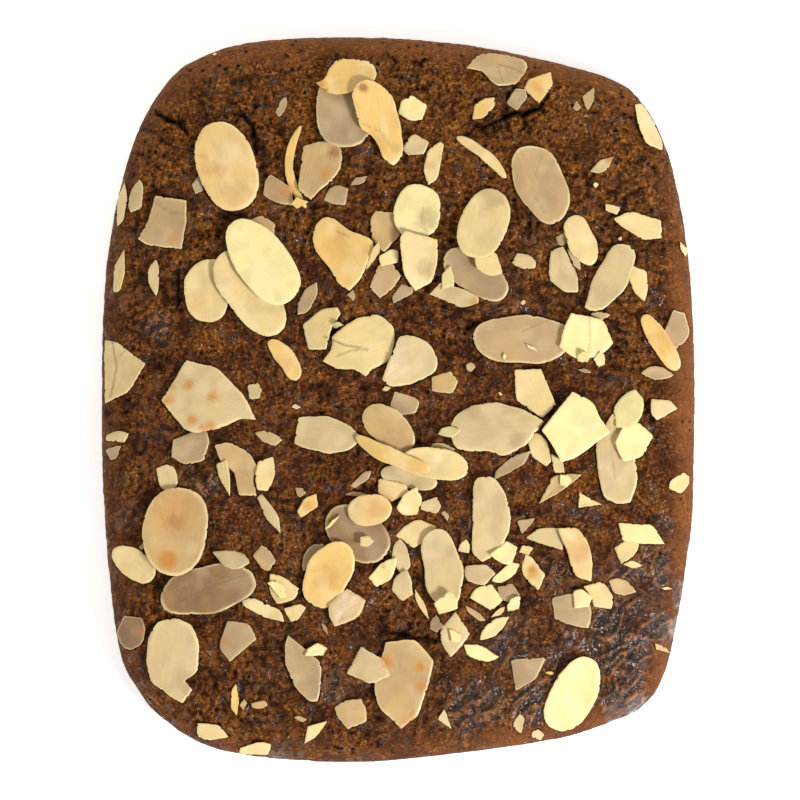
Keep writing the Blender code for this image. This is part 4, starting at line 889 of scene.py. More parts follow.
def pit_spots(rng):
    """Place and growth of every pit: those of the patches first, then the loose ones."""
    pits = []
    for x, y, radius, count in PIT_PATCHES:
        for _ in range(count):
            turn = rng.uniform(0.0, 2.0 * math.pi)
            reach = radius * math.sqrt(rng.uniform())
            pits.append((x + reach * math.cos(turn), y + reach * math.sin(turn), PATCH_PIT_GROWTH))
    for _ in range(LOOSE_PITS):
        x = rng.uniform(-SLAB_HALF_X, SLAB_HALF_X)
        y = rng.uniform(-SLAB_HALF_Y, SLAB_HALF_Y)
        pits.append((x, y, LOOSE_PIT_GROWTH))
    return pits


def pit_raster(field):
    """Depth of the small open pits, clustered in patches of open crumb."""
    rng = np.random.RandomState(PIT_SEED)
    depth = np.zeros_like(field.x)
    for x, y, grow in pit_spots(rng):
        radius = rng.uniform(*PIT_RADIUS) * grow
        deep = rng.uniform(*PIT_DEPTH) * grow
        stretch = rng.uniform(*PIT_STRETCH)
        turn = rng.uniform(0.0, math.pi)
        far = radius * 2.0
        window = field.window(x - far, x + far, y - far, y + far)
        dx = field.x[window] - x
        dy = field.y[window] - y
        along, across = along_across(dx, dy, turn)
        ragged = 1.0 + PIT_RAGGED * named_noise("pit_edge", field.x[window], field.y[window])
        bowl = 1.0 - smooth(0.2, 1.15, np.hypot(along, across / stretch) / (radius * ragged))
        depth[window] = np.maximum(depth[window], deep * bowl)
    return depth


def gloss_raster(field):
    """Strength of the glossy, wrinkled skin."""
    gloss = np.zeros_like(field.x)
    for x, y, radius, strength in GLOSS_PATCHES:
        distance = np.hypot(field.x - x, field.y - y) / radius
        gloss = np.maximum(gloss, strength * (1.0 - smooth(0.45, 1.1, distance)))
    ragged = 0.75 + 0.6 * named_noise("gloss_broad", field.x, field.y)
    ragged += 0.35 * named_noise("gloss_fine", field.x, field.y)
    return np.clip(gloss * ragged, 0.0, 1.0)


def wrinkle_raster(field):
    """Short diagonal wrinkles of the glossy skin, from 0 to 1."""
    turn = math.radians(WRINKLE_TURN)
    x = field.x + WRINKLE_BEND * named_noise("bend_x", field.x, field.y)
    y = field.y + WRINKLE_BEND * named_noise("bend_y", field.x, field.y)
    along, across = along_across(x, y, turn)
    waves = named_noise("wrinkle", along, across * WRINKLE_CROWDING)
    ridge = 1.0 - np.abs(waves) * WRINKLE_SHARPNESS
    beads = 0.5 + 0.5 * named_noise("bead", along, across)
    return np.clip(ridge, 0.0, 1.0) ** 2 * (0.55 + 0.45 * beads)


def crumb_raster(field):
    """Sandy crumb: rounded grains of falling size."""
    crumb = np.zeros_like(field.x)
    for index, (wave, height) in enumerate(CRUMB_WAVES):
        grain = np.abs(lattice_noise(field.x, field.y, wave, CRUMB_SEED + index))
        crumb += height * (1.5 * grain - 0.6)
    return crumb


def rim_skin_raster(field, depth, gloss):
    """Strength of the smooth, paler skin over the rim; partly painted light, strongest on the lower right
    where the rim faces the light, and strong at the upper end.
    """
    skin = 1.0 - smooth(0.25, 0.75, depth + 0.15 * named_noise("rim_skin", field.x, field.y))
    side = np.cos(np.arctan2(field.y, field.x) + math.radians(RIM_LIT_SIDE_TURN))
    crest = 0.8 * smooth(0.55, 0.95, field.y / np.hypot(field.x, field.y + 0.01))
    strength = np.maximum(0.25 + 0.60 * smooth(0.35, 0.85, side), crest)
    return skin * (strength * (1.0 - 0.85 * gloss))


def dry_raster(field, gloss):
    """How dry and golden the crumb baked, more so towards the upper end."""
    dry = named_noise("dry_broad", field.x, field.y) + 0.7 * named_noise("dry_fine", field.x, field.y)
    baked = 0.75 * smooth(10.0, 85.0, field.y) - 0.20 * smooth(0.0, 60.0, -field.y)
    return np.clip(smooth(0.05, 0.95, dry) + baked, 0.0, 1.0) * (1.0 - gloss)


def softened(values, cells):
    """A raster averaged over a square of cells each way."""
    for axis in (0, 1):
        total = np.zeros_like(values)
        for step in range(-cells, cells + 1):
            total += np.roll(values, step, axis=axis)
        values = total / (2 * cells + 1)
    return values


class Dough:
    """Every raster of the baked surface, worked out once."""

    def __init__(self):
        """Lay the almonds' prints, the relief, the crumb, the pits and the cracks over the slab."""
        field = Field(FIELD_CELL)
        self.field = field
        self.cover, bank = almond_rasters(field)
        bare = 1.0 - self.cover
        self.gloss = gloss_raster(field) * bare
        height, depth = rolled_height(field.x, field.y)
        self.smooth_height = height + relief_raster(field) * depth * calm_raster(field)
        self.rim_skin = rim_skin_raster(field, depth, self.gloss)
        pits = pit_raster(field) * (1.0 - self.gloss * 0.8) * (1.0 - 0.8 * self.rim_skin)
        self.hollow = (pits + crack_raster(field)) * bare
        roughness = 0.35 + 0.65 * smooth(-0.4, 0.5, named_noise("rough", field.x, field.y))
        open_crumb = bare * (1.0 - 0.75 * self.rim_skin)
        detail = crumb_raster(field) * roughness * (1.0 - 0.55 * self.gloss) * open_crumb
        detail += wrinkle_raster(field) * WRINKLE_HEIGHT * self.gloss
        uneven = 0.6 + 0.5 * named_noise("bank", field.x, field.y)
        detail += bank * BANK_HEIGHT * bare * uneven
        self.height = self.smooth_height + detail - self.hollow
        self.ridge = np.clip(0.5 + (detail - softened(detail, RIDGE_CELLS)) / RIDGE_RANGE, 0.0, 1.0)
        self.dry = dry_raster(field, self.gloss)

    def at(self, raster, x, y):
        """Values of one of the rasters at arrays of spots."""
        return read_raster(self.field, raster, x, y)


# ---------------------------------------------------------------- slab mesh

def mapped_grid():
    """Plan positions of a square grid drawn out to the rounded outline."""
    steps = np.linspace(-1.0, 1.0, TOP_CELLS + 1)
    u, v = np.meshgrid(steps, steps)
    angle = np.arctan2(v * SLAB_HALF_Y, u * SLAB_HALF_X)
    reach = np.maximum(np.abs(u), np.abs(v)) * (rim_radius(angle) - TOP_INSET)
    return (reach * np.cos(angle)).ravel(), (reach * np.sin(angle)).ravel()


def border_indices():
    """Grid indices round the border, counter-clockwise."""
    row = TOP_CELLS + 1
    cells = TOP_CELLS
    border = list(range(cells))
    border += [step * row + cells for step in range(cells)]
    border += [cells * row + cells - step for step in range(cells)]
    border += [(cells - step) * row for step in range(cells)]
    return np.array(border)


def side_profile(share):
    """Inset from the rim, and height or None above the waist, from shoulder (0) to base (1)."""
    if share < WAIST_SHARE:
        return TOP_INSET * (1.0 - share / WAIST_SHARE) ** 2, None
    drop = (share - WAIST_SHARE) / (1.0 - WAIST_SHARE)
    inset = FOOT_INSET * max(0.0, drop - FOOT_START) ** FOOT_POWER / (1.0 - FOOT_START) ** FOOT_POWER
    return inset, WAIST_HEIGHT * (1.0 - drop) ** WAIST_POWER


def slab_points(dough):
    """The slab's top grid as x, y and z, and its rings of points down to the base."""
    x, y = mapped_grid()
    z = dough.at(dough.height, x, y)
    border = border_indices()
    angles = np.arctan2(y[border], x[border])
    rim = rim_radius(angles)
    rings = [(x[border], y[border], z[border])]
    relief = z[border] - rolled_height(x[border], y[border])[0]
    for step in range(1, SIDE_RINGS + 1):
        inset, height = side_profile(step / SIDE_RINGS)
        fade = math.sin(math.pi * min(step / SIDE_RINGS, GRAIN_END))
        reach = rim - inset - side_grain(angles, step) * fade
        if height is None:
            level = rolled_height((rim - inset) * np.cos(angles), (rim - inset) * np.sin(angles))[0]
            level = level + relief * (1.0 - (1.0 - inset / TOP_INSET) ** 2)
        else:
            level = np.full_like(rim, height)
        rings.append((reach * np.cos(angles), reach * np.sin(angles), level))
    return x, y, z, rings


def side_grain(angles, step):
    """Roughness of the side wall, inwards when positive, as an array round the slab."""
    run = angles * GRAIN_RUN
    rise = np.full_like(run, step * GRAIN_RISE)
    grain = 0.04 + 0.12 * named_noise("side_fine", run, rise)
    grain += 0.10 * named_noise("side_finer", run, rise)
    grain += 0.10 * (0.5 + 0.5 * named_noise("side_broad", run, rise))
    push = 0.12 + 0.24 * np.clip(-np.sin(angles), 0.0, 1.0) - 0.06 * np.clip(np.cos(angles), 0.0, 1.0)
    return np.maximum(grain - push, GRAIN_LIMIT)


def ring_faces(upper, lower):
    """Quads between two rings of point indices."""
    return np.stack([upper, lower, np.roll(lower, -1), np.roll(upper, -1)], axis=1)


def build_slab(dough):
    """Mesh of the baked slab with its paint written on its points."""
    x, y, z, rings = slab_points(dough)
    points = [np.stack([x, y, z], axis=1)]
    row = TOP_CELLS + 1
    grid = np.arange(row * row).reshape(row, row)
    quads = np.stack([grid[:-1, :-1], grid[:-1, 1:], grid[1:, 1:], grid[1:, :-1]], axis=-1)
    faces = [quads.reshape(-1, 4)]
    upper = border_indices()
    total = row * row
    base_x, base_y, _ = rings[-1]
    for share in BASE_SHARES:
        base = (base_x * share, base_y * share)
        dimple = BASE_DIMPLE + BASE_DIMPLE * named_noise("base", *base)
        dimple *= min(1.0, (1.0 - share) / BASE_FADE)
        rings.append((*base, np.clip(dimple, 0.0, None)))
    for ring in rings[1:]:
        lower = total + np.arange(len(upper))
        points.append(np.stack(ring, axis=1))
        faces.append(ring_faces(upper, lower))
        upper = lower
        total += len(lower)
    points.append(np.array([BASE_CENTRE]))
    lid = [(int(upper[k]), total, int(upper[(k + 1) % len(upper)])) for k in range(len(upper))]
    points = np.concatenate(points)
    polygons = [tuple(int(i) for i in face) for block in faces for face in block] + lid
    item = make_object("speculaas_slab", points, polygons)
    paint_slab(item.data, points, dough)
    return item


def make_object(name, points, faces):
    """A smooth-shaded object in the scene from points in mm."""
    mesh = bpy.data.meshes.new(name)
    mesh.from_pydata(boxed(points).tolist(), [], faces)
    mesh.update()
    for polygon in mesh.polygons:
        polygon.use_smooth = True
    item = bpy.data.objects.new(name, mesh)
    bpy.context.scene.collection.objects.link(item)
    return item


def paint_slab(mesh, points, dough):
    """Point attributes: hollows, gloss and dryness; rim skin, almond cover and side; ridges. The hollows,
    the almonds' cover and the ridges give painted shade and highlights, and the rim skin is partly painted
    light.
    """
    x, y, z = points[:, 0], points[:, 1], points[:, 2]
    top = smooth(WAIST_HEIGHT - 1.0, WAIST_HEIGHT + 3.0, z)
    hollow = np.clip(dough.at(dough.hollow, x, y) / 0.9, 0.0, 1.0) * top
    gloss = dough.at(dough.gloss, x, y) * top
    dry = dough.at(dough.dry, x, y)
    rim = np.clip(dough.at(dough.rim_skin, x, y), 0.0, 1.0)
    cover = dough.at(dough.cover, x, y) * top
    ridge = 0.5 + (dough.at(dough.ridge, x, y) - 0.5) * top
    add_colours(mesh, "surface", np.stack([hollow, gloss, dry, np.ones_like(x)], axis=1))
    add_colours(mesh, "place", np.stack([rim, cover, 1.0 - top, np.ones_like(x)], axis=1))
    add_colours(mesh, "ridge", np.stack([ridge, ridge, ridge, np.ones_like(x)], axis=1))


def boxed(points):
    """Points in metres from points in mm, none of them outside the solid's box."""
    low, high = np.array(CAD_BOX[0]), np.array(CAD_BOX[1])
    return np.clip(points * MM, low + BOX_MARGIN, high - BOX_MARGIN)


def add_colours(mesh, name, values):
    """Write an array of point values as a colour attribute."""
    layer = mesh.color_attributes.new(name, "FLOAT_COLOR", "POINT")
    layer.data.foreach_set("color", values.astype(np.float32).ravel())


# ---------------------------------------------------------------- almonds

def turning(before, corner, after):
    """Turn of an outline at one of its corners, in degrees."""
    first = math.atan2(corner[1] - before[1], corner[0] - before[0])
    second = math.atan2(after[1] - corner[1], after[0] - corner[0])
    return abs(math.degrees((second - first + math.pi) % (2.0 * math.pi) - math.pi))


def cut_outline(corners, step):
    """A closed outline cut into short steps, and which of its points are sharp corners."""
    fine = []
    held = []
    count = len(corners)
    for index in range(count):
        x0, y0 = corners[index]
        x1, y1 = corners[(index + 1) % count]
        sharp = turning(corners[index - 1], corners[index], corners[(index + 1) % count]) > SHARP_TURN
        cuts = max(1, int(round(math.hypot(x1 - x0, y1 - y0) / step)))
        for cut in range(cuts):
            share = cut / cuts
            fine.append((x0 + (x1 - x0) * share, y0 + (y1 - y0) * share))
            held.append(cut == 0 and sharp)
    return np.array(fine), np.array(held)[:, None]


def roughened(corners, rng, step, jag, wobble, passes):
    """A closed outline eased between its sharp corners, with a ragged edge."""
    soft, held = cut_outline(corners, step)
    total = len(soft)
    for _ in range(passes):
        eased = (np.roll(soft, 1, axis=0) + 2.0 * soft + np.roll(soft, -1, axis=0)) / 4.0
        soft = np.where(held, soft, eased)
    soft = (np.roll(soft, 1, axis=0) + 4.0 * soft + np.roll(soft, -1, axis=0)) / 6.0
    reach = np.hypot(soft[:, 0], soft[:, 1])
    slow = np.zeros(total)
    for wave in SLOW_WAVES:
        height = rng.uniform(-1.0, 1.0)
        start = rng.uniform(0.0, 6.3)
        slow += height * np.sin(2.0 * math.pi * wave * np.arange(total) / total + start)
    quick = rng.uniform(-1.0, 1.0, total)
    quick = (quick + np.roll(quick, 1)) / 2.0
    nicks = np.where(rng.uniform(size=total) < NICK_SHARE, -rng.uniform(*NICK_DEPTH, total), 0.0)
    shift = slow * wobble + (quick + nicks) * jag
    return soft * (1.0 + shift / np.maximum(reach, 0.6))[:, None]


def slice_plan(piece):
    """Fine outline of a piece about its own middle, unbent."""
    rng = np.random.RandomState(piece["seed"])
    size = piece["size"]
    whole_slice = piece["kind"] == "whole"
    step, jag, wobble, passes = WHOLE_EDGE if whole_slice else TORN_EDGE
    if not whole_slice and size <= SMALL_CUT_SIZE:
        step = SMALL_CUT
    if not whole_slice and size <= SMALL_PASSES_SIZE:
        passes = SMALL_PASSES
    return roughened(piece["local"], rng, step, jag, wobble * size, passes)


def placed(piece, plan):
    """Plan points bowed, turned and moved to their place on the slab."""
    u = plan[:, 0]
    v = plan[:, 1] + piece["bow"] * (0.5 - (2.0 * u / piece["size"]) ** 2)
    turn = math.radians(piece["turn"])
    x = piece["x"] + u * math.cos(turn) - v * math.sin(turn)
    y = piece["y"] + u * math.sin(turn) + v * math.cos(turn)
    return x, y


def fitted_surface(spots, heights):
    """Least-squares bent surface through heights over spots."""
    x, y = spots[:, 0], spots[:, 1]
    terms = np.stack([np.ones_like(x), x, y, x * x, x * y, y * y], axis=1)
    return np.linalg.lstsq(terms, heights, rcond=None)[0]


def surface_at(factors, x, y):
    """Heights of a fitted surface."""
    return (factors[0] + factors[1] * x + factors[2] * y
            + factors[3] * x * x + factors[4] * x * y + factors[5] * y * y)


def node_surface(node, piece):
    """Underside of a slice's solid about the piece's middle, and the solid's tree for rays."""
    mesh = node.data
    points = [node.matrix_world @ vertex.co for vertex in mesh.vertices]
    tree = BVHTree.FromPolygons(points, [tuple(polygon.vertices) for polygon in mesh.polygons])
    spots = []
    heights = []
    for share in NODE_SHARES:
        x, y = placed(piece, np.array(piece["local"]) * share)
        for px, py in zip(x, y):
            hit = tree.ray_cast(Vector((px * MM, py * MM, RAY_BELOW)), Vector((0.0, 0.0, 1.0)))[0]
            if hit is not None:
                spots.append((px - piece["x"], py - piece["y"]))
                heights.append(hit.z / MM)
    return fitted_surface(np.array(spots), np.array(heights)), tree


def ground_at(px, py, level, trees):
    """Height that a chip finds at a spot: the dough or the highest piece laid there."""
    best = level - CHIP_SINK
    for tree, low_x, high_x, low_y, high_y in trees:
        if not (low_x <= px <= high_x and low_y <= py <= high_y):
            continue
        hit = tree.ray_cast(Vector((px * MM, py * MM, RAY_ABOVE)), Vector((0.0, 0.0, -1.0)))[0]
        if hit is not None:
            best = max(best, hit.z / MM + CHIP_GAP)
    return best


def chip_surface(piece, dough, trees):
    """Where a chip rests: a plane over the dough and the pieces already laid."""
    spots = []
    heights = []
    for share in REST_SHARES:
        x, y = placed(piece, np.array(piece["local"]) * share)
        ground = dough.at(dough.smooth_height, x, y)
        for px, py, level in zip(x, y, ground):
            spots.append((px - piece["x"], py - piece["y"]))
            heights.append(ground_at(px, py, level, trees))
    spots = np.array(spots)
    heights = np.array(heights)
    weights = np.ones(len(heights))
    basis = np.stack([np.ones(len(spots)), spots[:, 0], spots[:, 1]], axis=1)
    for _ in range(REST_PASSES):
        plane = np.linalg.lstsq(basis * weights[:, None], heights * weights, rcond=None)[0]
        over = heights - basis @ plane
        weights = np.where(over > 0.0, np.minimum(weights * REST_GAIN, REST_LIMIT), weights)
    factors = np.zeros(6)
    factors[:3] = plane
    factors[0] += max(0.0, float(over.max()) - CHIP_DIP)
    return factors


def slice_side(piece, plan, factors, thickness, rings, side, bend):
    """Rings of points on one side of an almond piece, from its edge to its middle."""
    cup, twist = bend
    turn = math.radians(piece["grain"])
    blocks = []
    for share in rings + (0.0,):
        ring = plan * share if share > 0.0 else np.zeros((1, 2))
        x, y = placed(piece, ring)
        dx, dy = x - piece["x"], y - piece["y"]
        base = surface_at(factors, dx, dy)
        edge = 1.0 - smooth(0.0, EDGE_SHARE, 1.0 - share)
        half = thickness / 2.0 * (1.0 - 0.5 * edge)
        along, across = (part / (piece["size"] / 2.0) for part in along_across(dx, dy, turn))
        wave = 0.09 * lattice_noise(x, y, 4.2, piece["seed"] % 97)
        wave = wave + 0.045 * named_noise("slice", x, y)
        lift = cup * share ** 2 + twist * along * across * 2.0
        z = base + thickness / 2.0 + side * half + lift + (wave if side > 0.0 else 0.0)
        blocks.append(np.stack([x, y, z], axis=1))
    return blocks


def slice_mesh(piece, factors, thickness, rng):
    """Points, faces and plan shares of one almond piece with softened edges."""
    plan = slice_plan(piece)
    count = len(plan)
    reach = min(1.0, piece["size"] / FULL_SIZE)
    bend = (rng.uniform(*CUP) * reach, rng.uniform(-TWIST, TWIST) * reach)
    points = []
    shares = []
    faces = []
    start = 0
    edges = []
    upper_rings = TOP_SHARES if piece["name"] else CHIP_SHARES
    for side, rings in ((1.0, upper_rings), (-1.0, LOWER_SHARES)):
        blocks = slice_side(piece, plan, factors, thickness, rings, side, bend)
        points += blocks
        for share, block in zip(rings + (0.0,), blocks):
            shares.append(np.full(len(block), share))
        for ring in range(len(rings) - 1):
            outer = start + ring * count
            inner = outer + count
            for k in range(count):
                after = (k + 1) % count
                quad = (outer + k, outer + after, inner + after, inner + k)
                faces.append(quad if side > 0.0 else quad[::-1])
        last = start + (len(rings) - 1) * count
        for k in range(count):
            face = (last + k, last + (k + 1) % count, last + count)
            faces.append(face if side > 0.0 else face[::-1])
        edges.append(start)
        start = last + count + 1
    for k in range(count):
        after = (k + 1) % count
        faces.append((edges[0] + k, edges[1] + k, edges[1] + after, edges[0] + after))
    return np.concatenate(points), faces, np.concatenate(shares)


def cloudy(name, x, y):
    """Rounded cloud noise from about -1 to 1: two lattices laid across each other."""
    wave, seed = NOISES[name]
    return 0.8 * (lattice_noise(x, y, wave, seed) + lattice_noise(x, y, wave * 0.77, seed + 40))


def line_distance(line, x, y):
    """Distance of points from an open broken line."""
    nearest = np.full(x.shape, FAR)
    for (x0, y0), (x1, y1) in zip(line, line[1:]):
        run = (x1 - x0) ** 2 + (y1 - y0) ** 2
        share = np.clip(((x - x0) * (x1 - x0) + (y - y0) * (y1 - y0)) / run, 0.0, 1.0)
        nearest = np.minimum(nearest, np.hypot(x - x0 - share * (x1 - x0), y - y0 - share * (y1 - y0)))
    return nearest


def blended(colour, target, share):
    """Point colours moved towards a target by a share for each point."""
    return colour + (target - colour) * share[:, None]


def marked(colour, x, y):
    """Point colours with the toasted, brown and wet marks laid over them."""
    for mark_x, mark_y, radius, name, strength in MARKS:
        distance = np.hypot(x - mark_x, y - mark_y) / radius
        if distance.min() > 1.3:
            continue
        ragged = distance + 0.25 * named_noise("marks", x, y)
        spot = strength * (1.0 - smooth(0.25, 1.15, ragged))
        colour = blended(colour, linear(MARK_COLOURS[name]), spot)
    return colour


def split_coloured(colour, piece, x, y):
    """Point colours of a piece with the lines of its splits drawn in."""
    for width, strength, line in SPLITS:
        if math.hypot(piece["x"] - line[0][0], piece["y"] - line[0][1]) > piece["size"]:
            continue
        spot = strength * (1.0 - smooth(0.6, 2.0, line_distance(line, x, y) / width))
        colour = blended(colour, linear(SPLIT_COLOUR), spot)
    return colour


def almond_colours(piece, points, shares):
    """Point colours of an almond piece: its tone, cloudy patches, pale rim, marks and splits."""
    rng = np.random.RandomState(piece["seed"] + 7)
    x, y = points[:, 0], points[:, 1]
    deep = piece["tone"] in DEEP_TONES
    base = linear(TONES[piece["tone"]]) * rng.uniform(0.99, 1.05)
    colour = np.repeat(base[None, :], len(points), axis=0)
    clouds = cloudy("clouds", x + piece["seed"], y)
    wet = (0.30 if deep else 0.14) * smooth(-0.2, 0.5, clouds)
    colour = blended(colour, linear(MARK_COLOURS["wet"]), wet)
    milk = base + (linear(MILK_COLOUR) - base) * (0.22 if deep else 0.45)
    share = 0.75 * smooth(-0.1, 0.9, cloudy("milk", x + piece["seed"], y))
    colour = blended(colour, milk, share)
    share = 0.32 * smooth(0.0, 0.9, cloudy("dull", x, y + piece["seed"]))
    share = share * (1.0 - smooth(0.86, 0.96, shares))
    colour = blended(colour, base * np.array(DULL_FACTORS), share)
    warm = (0.26 if piece["tone"] in WARM_TONES else 0.12) * smooth(0.0, 0.6, -clouds)
    colour = blended(colour, linear(TONES["toast"]), warm)
    edge = (0.75 if deep else 0.55) * smooth(0.90, 0.99, shares)
    edge = edge * (0.7 + 0.5 * named_noise("edge", x, y))
    colour = blended(colour, linear(RIM_COLOUR), np.clip(edge, 0.0, 1.0))
    colour = split_coloured(marked(colour, x, y), piece, x, y)
    solid = np.ones((len(points), 1))
    return np.concatenate([np.clip(colour * LIGHT_SHARE, 0.0, 1.0), solid], axis=1)


def grain_coordinates(piece, points):
    """Coordinates along and across a slice, for its lengthwise grain."""
    turn = math.radians(piece["grain"])
    dx = points[:, 0] - piece["x"]
    dy = points[:, 1] - piece["y"]
    along, across = along_across(dx, dy, turn)
    along = along + piece["seed"] * GRAIN_SHIFT
    return np.stack([along, across, np.zeros_like(along), np.ones_like(along)], axis=1)


def laid_piece(piece, dough, trees):
    """Points, faces and plan shares of a piece where it lies, and its tree for rays."""
    rng = np.random.RandomState(piece["seed"] + 3)
    if piece["name"]:
        factors, tree = node_surface(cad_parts[piece["name"]], piece)
        return (*slice_mesh(piece, factors, SLICE_THICKNESS * SLICE_TRIM, rng), tree)
    factors = chip_surface(piece, dough, trees)
    thickness = CHIP_THICKNESS * min(1.0, CHIP_THINNEST + piece["size"] / FULL_SIZE)
    points, faces, shares = slice_mesh(piece, factors, thickness, rng)
    tree = BVHTree.FromPolygons([Vector(point) * MM for point in points], faces)
    return points, faces, shares, tree


def build_almonds(dough):
    """Every slice as a piece of its own, and all the chips as one joined piece."""
    trees = []
    slices = []
    chip_points, chip_faces, chip_colours, chip_grain = [], [], [], []
    offset = 0
    for piece in PIECES:
        points, faces, shares, tree = laid_piece(piece, dough, trees)
        colours = almond_colours(piece, points, shares)
        grain = grain_coordinates(piece, points)
        if piece["name"]:
            slices.append(make_slice(piece, points, faces, colours, grain))
        else:
            chip_points.append(points)
            chip_faces += [tuple(index + offset for index in face) for face in faces]
            chip_colours.append(colours)
            chip_grain.append(grain)
            offset += len(points)
        low = points.min(axis=0)
        high = points.max(axis=0)
        trees.append((tree, low[0], high[0], low[1], high[1]))
    joined = make_almond(
        "almond_chips", np.concatenate(chip_points), chip_faces,
        np.concatenate(chip_colours), np.concatenate(chip_grain),
    )
    return slices, joined


def make_almond(name, points, faces, colours, grain):
    """An almond object with its colours and grain written on its points."""
    item = make_object(name, points, faces)
    add_colours(item.data, "tone", colours)
    add_colours(item.data, "grain", grain)
    return item


def make_slice(piece, points, faces, colours, grain):
    """A slice's own object, standing for its solid."""
    item = make_almond("flaked_" + piece["name"], points, faces, colours, grain)
    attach(item, "root")
    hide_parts(piece["name"])
    return item


# ---------------------------------------------------------------- materials

# Noises of the dough: scale per metre, detail and roughness
DOUGH_NOISES = {
    "fine": (1250.0, 3.0, 0.6), "medium": (430.0, 3.0, 0.6), "broad": (140.0, 2.0, 0.55),
    "patches": (230.0, 2.0, 0.5), "beads": (820.0, 1.0, 0.5),
}
SKIN_STOPS = ((0.30, (28, 11, 2)), (0.43, (76, 39, 14)), (0.56, (110, 60, 25)), (0.70, (172, 108, 60)))
CRUMB_STOPS = ((0.30, (28, 12, 2)), (0.42, (106, 58, 14)), (0.56, (154, 94, 32)), (0.70, (214, 152, 78)))

# Colours laid over skin and crumb: by what, from where to where of it, how strongly, colour
DOUGH_TONE_AND_PAINTED_LIGHT_LAYERS = (
    ("medium", 0.53, 0.68, 0.80, (32, 14, 5)),
    ("broad", 0.50, 0.70, 0.45, (122, 72, 32)),
    ("patches", 0.46, 0.36, 0.55, (46, 23, 13)),
    ("broad", 0.48, 0.32, 0.50, (56, 30, 18)),
    # painted shade in the hollows of the relief, then a painted highlight on its ridges
    ("ridge", 0.48, 0.08, 0.70, (30, 14, 6)),
    ("ridge", 0.55, 0.95, 0.35, (160, 104, 60)),
)

# The same in the glossy skin alone: painted shade in its troughs, then a painted highlight on its ridges
GLOSS_PAINTED_LIGHT_LAYERS = (
    ("ridge", 0.56, 0.26, 0.90, (26, 10, 3)),
    ("ridge", 0.74, 0.98, 0.30, (226, 158, 108)),
)

# Places painted on the points: which, how strongly, colour
# the rim's paler skin is partly painted light, strongest on the side that faces the light
PLACE_LAYERS = (("rim", 0.62, (166, 102, 56)), ("side", 0.5, (108, 66, 36)))
HOLE_SCALE = 470.0
# black painted into the holes and hollows as shade
HOLE_SHADE_COLOUR = (20, 9, 4)
# painted shade under the almonds and just round their edges
UNDER_ALMOND_SHADE_COLOUR = (30, 15, 8)


def new_material(name):
    """An empty node material with its Principled shader."""
    material = bpy.data.materials.new(name)
    material.use_nodes = True
    tree = material.node_tree
    return material, tree, tree.nodes["Principled BSDF"]


def attribute(tree, name):
    """A point attribute split into its channels."""
    source = tree.nodes.new("ShaderNodeAttribute")
    source.attribute_name = name
    split = tree.nodes.new("ShaderNodeSeparateColor")
    tree.links.new(source.outputs["Color"], split.inputs["Color"])
    return split.outputs


def noise_node(tree, vector, scale, detail, roughness):
    """A noise texture over the given coordinates."""
    node = tree.nodes.new("ShaderNodeTexNoise")
    node.inputs["Scale"].default_value = scale
    node.inputs["Detail"].default_value = detail
    node.inputs["Roughness"].default_value = roughness
    tree.links.new(vector, node.inputs["Vector"])
    return node.outputs["Fac"]


def ramp(tree, value, stops):
    """A colour ramp of linear colours."""
    node = tree.nodes.new("ShaderNodeValToRGB")
    elements = node.color_ramp.elements
    elements[0].position = stops[0][0]
    elements[0].color = (*stops[0][1], 1.0)
    elements[1].position = stops[-1][0]
    elements[1].color = (*stops[-1][1], 1.0)
    for position, colour in stops[1:-1]:
        element = elements.new(position)
        element.color = (*colour, 1.0)
    tree.links.new(value, node.inputs["Fac"])
    return node.outputs["Color"]


def mix_colour(tree, share, first, second):
    """Two colours mixed by a share that may be a socket or a number."""
    node = tree.nodes.new("ShaderNodeMix")
    node.data_type = "RGBA"
    put(tree, share, node.inputs["Factor"])
    put(tree, first, node.inputs["A"])
    put(tree, second, node.inputs["B"])
    return node.outputs["Result"]


def put(tree, value, socket):
    """Link a socket, or set a plain value."""
    if isinstance(value, bpy.types.NodeSocket):
        tree.links.new(value, socket)
    elif hasattr(value, "__len__"):
        socket.default_value = (*value, 1.0)
    else:
        socket.default_value = value


def maths(tree, operation, first, second=0.0):
    """A math node, clamped from 0 to 1."""
    node = tree.nodes.new("ShaderNodeMath")
    node.operation = operation
    node.use_clamp = True
    put(tree, first, node.inputs[0])
    put(tree, second, node.inputs[1])
    return node.outputs["Value"]


def remap(tree, value, low, high, to_low, to_high):
    """A clamped map of one range to another."""
    node = tree.nodes.new("ShaderNodeMapRange")
    tree.links.new(value, node.inputs["Value"])
    node.inputs["From Min"].default_value = low
    node.inputs["From Max"].default_value = high
    node.inputs["To Min"].default_value = to_low
    node.inputs["To Max"].default_value = to_high
    return node.outputs["Result"]


def bump(tree, height, strength, distance, normal=None):
    """A bump node on top of an optional earlier one."""
    node = tree.nodes.new("ShaderNodeBump")
    node.inputs["Strength"].default_value = strength
    node.inputs["Distance"].default_value = distance
    tree.links.new(height, node.inputs["Height"])
    if normal is not None:
        tree.links.new(normal, node.inputs["Normal"])
    return node.outputs["Normal"]


def shade(*colour):
    """Albedo of a colour as it looks in the studio light."""
    return linear(colour) * LIGHT_SHARE


def dough_sockets(tree):
    """The painted point values and the noises that the dough's look is made from."""
    where = tree.nodes.new("ShaderNodeTexCoord").outputs["Object"]
    surface = attribute(tree, "surface")
    place = attribute(tree, "place")
    sockets = {
        "where": where, "hollow": surface["Red"], "gloss": surface["Green"], "dry": surface["Blue"],
        "rim": place["Red"], "cover": place["Green"], "side": place["Blue"],
        "ridge": attribute(tree, "ridge")["Red"],
    }
    for name, settings in DOUGH_NOISES.items():
        sockets[name] = noise_node(tree, where, *settings)
    return sockets


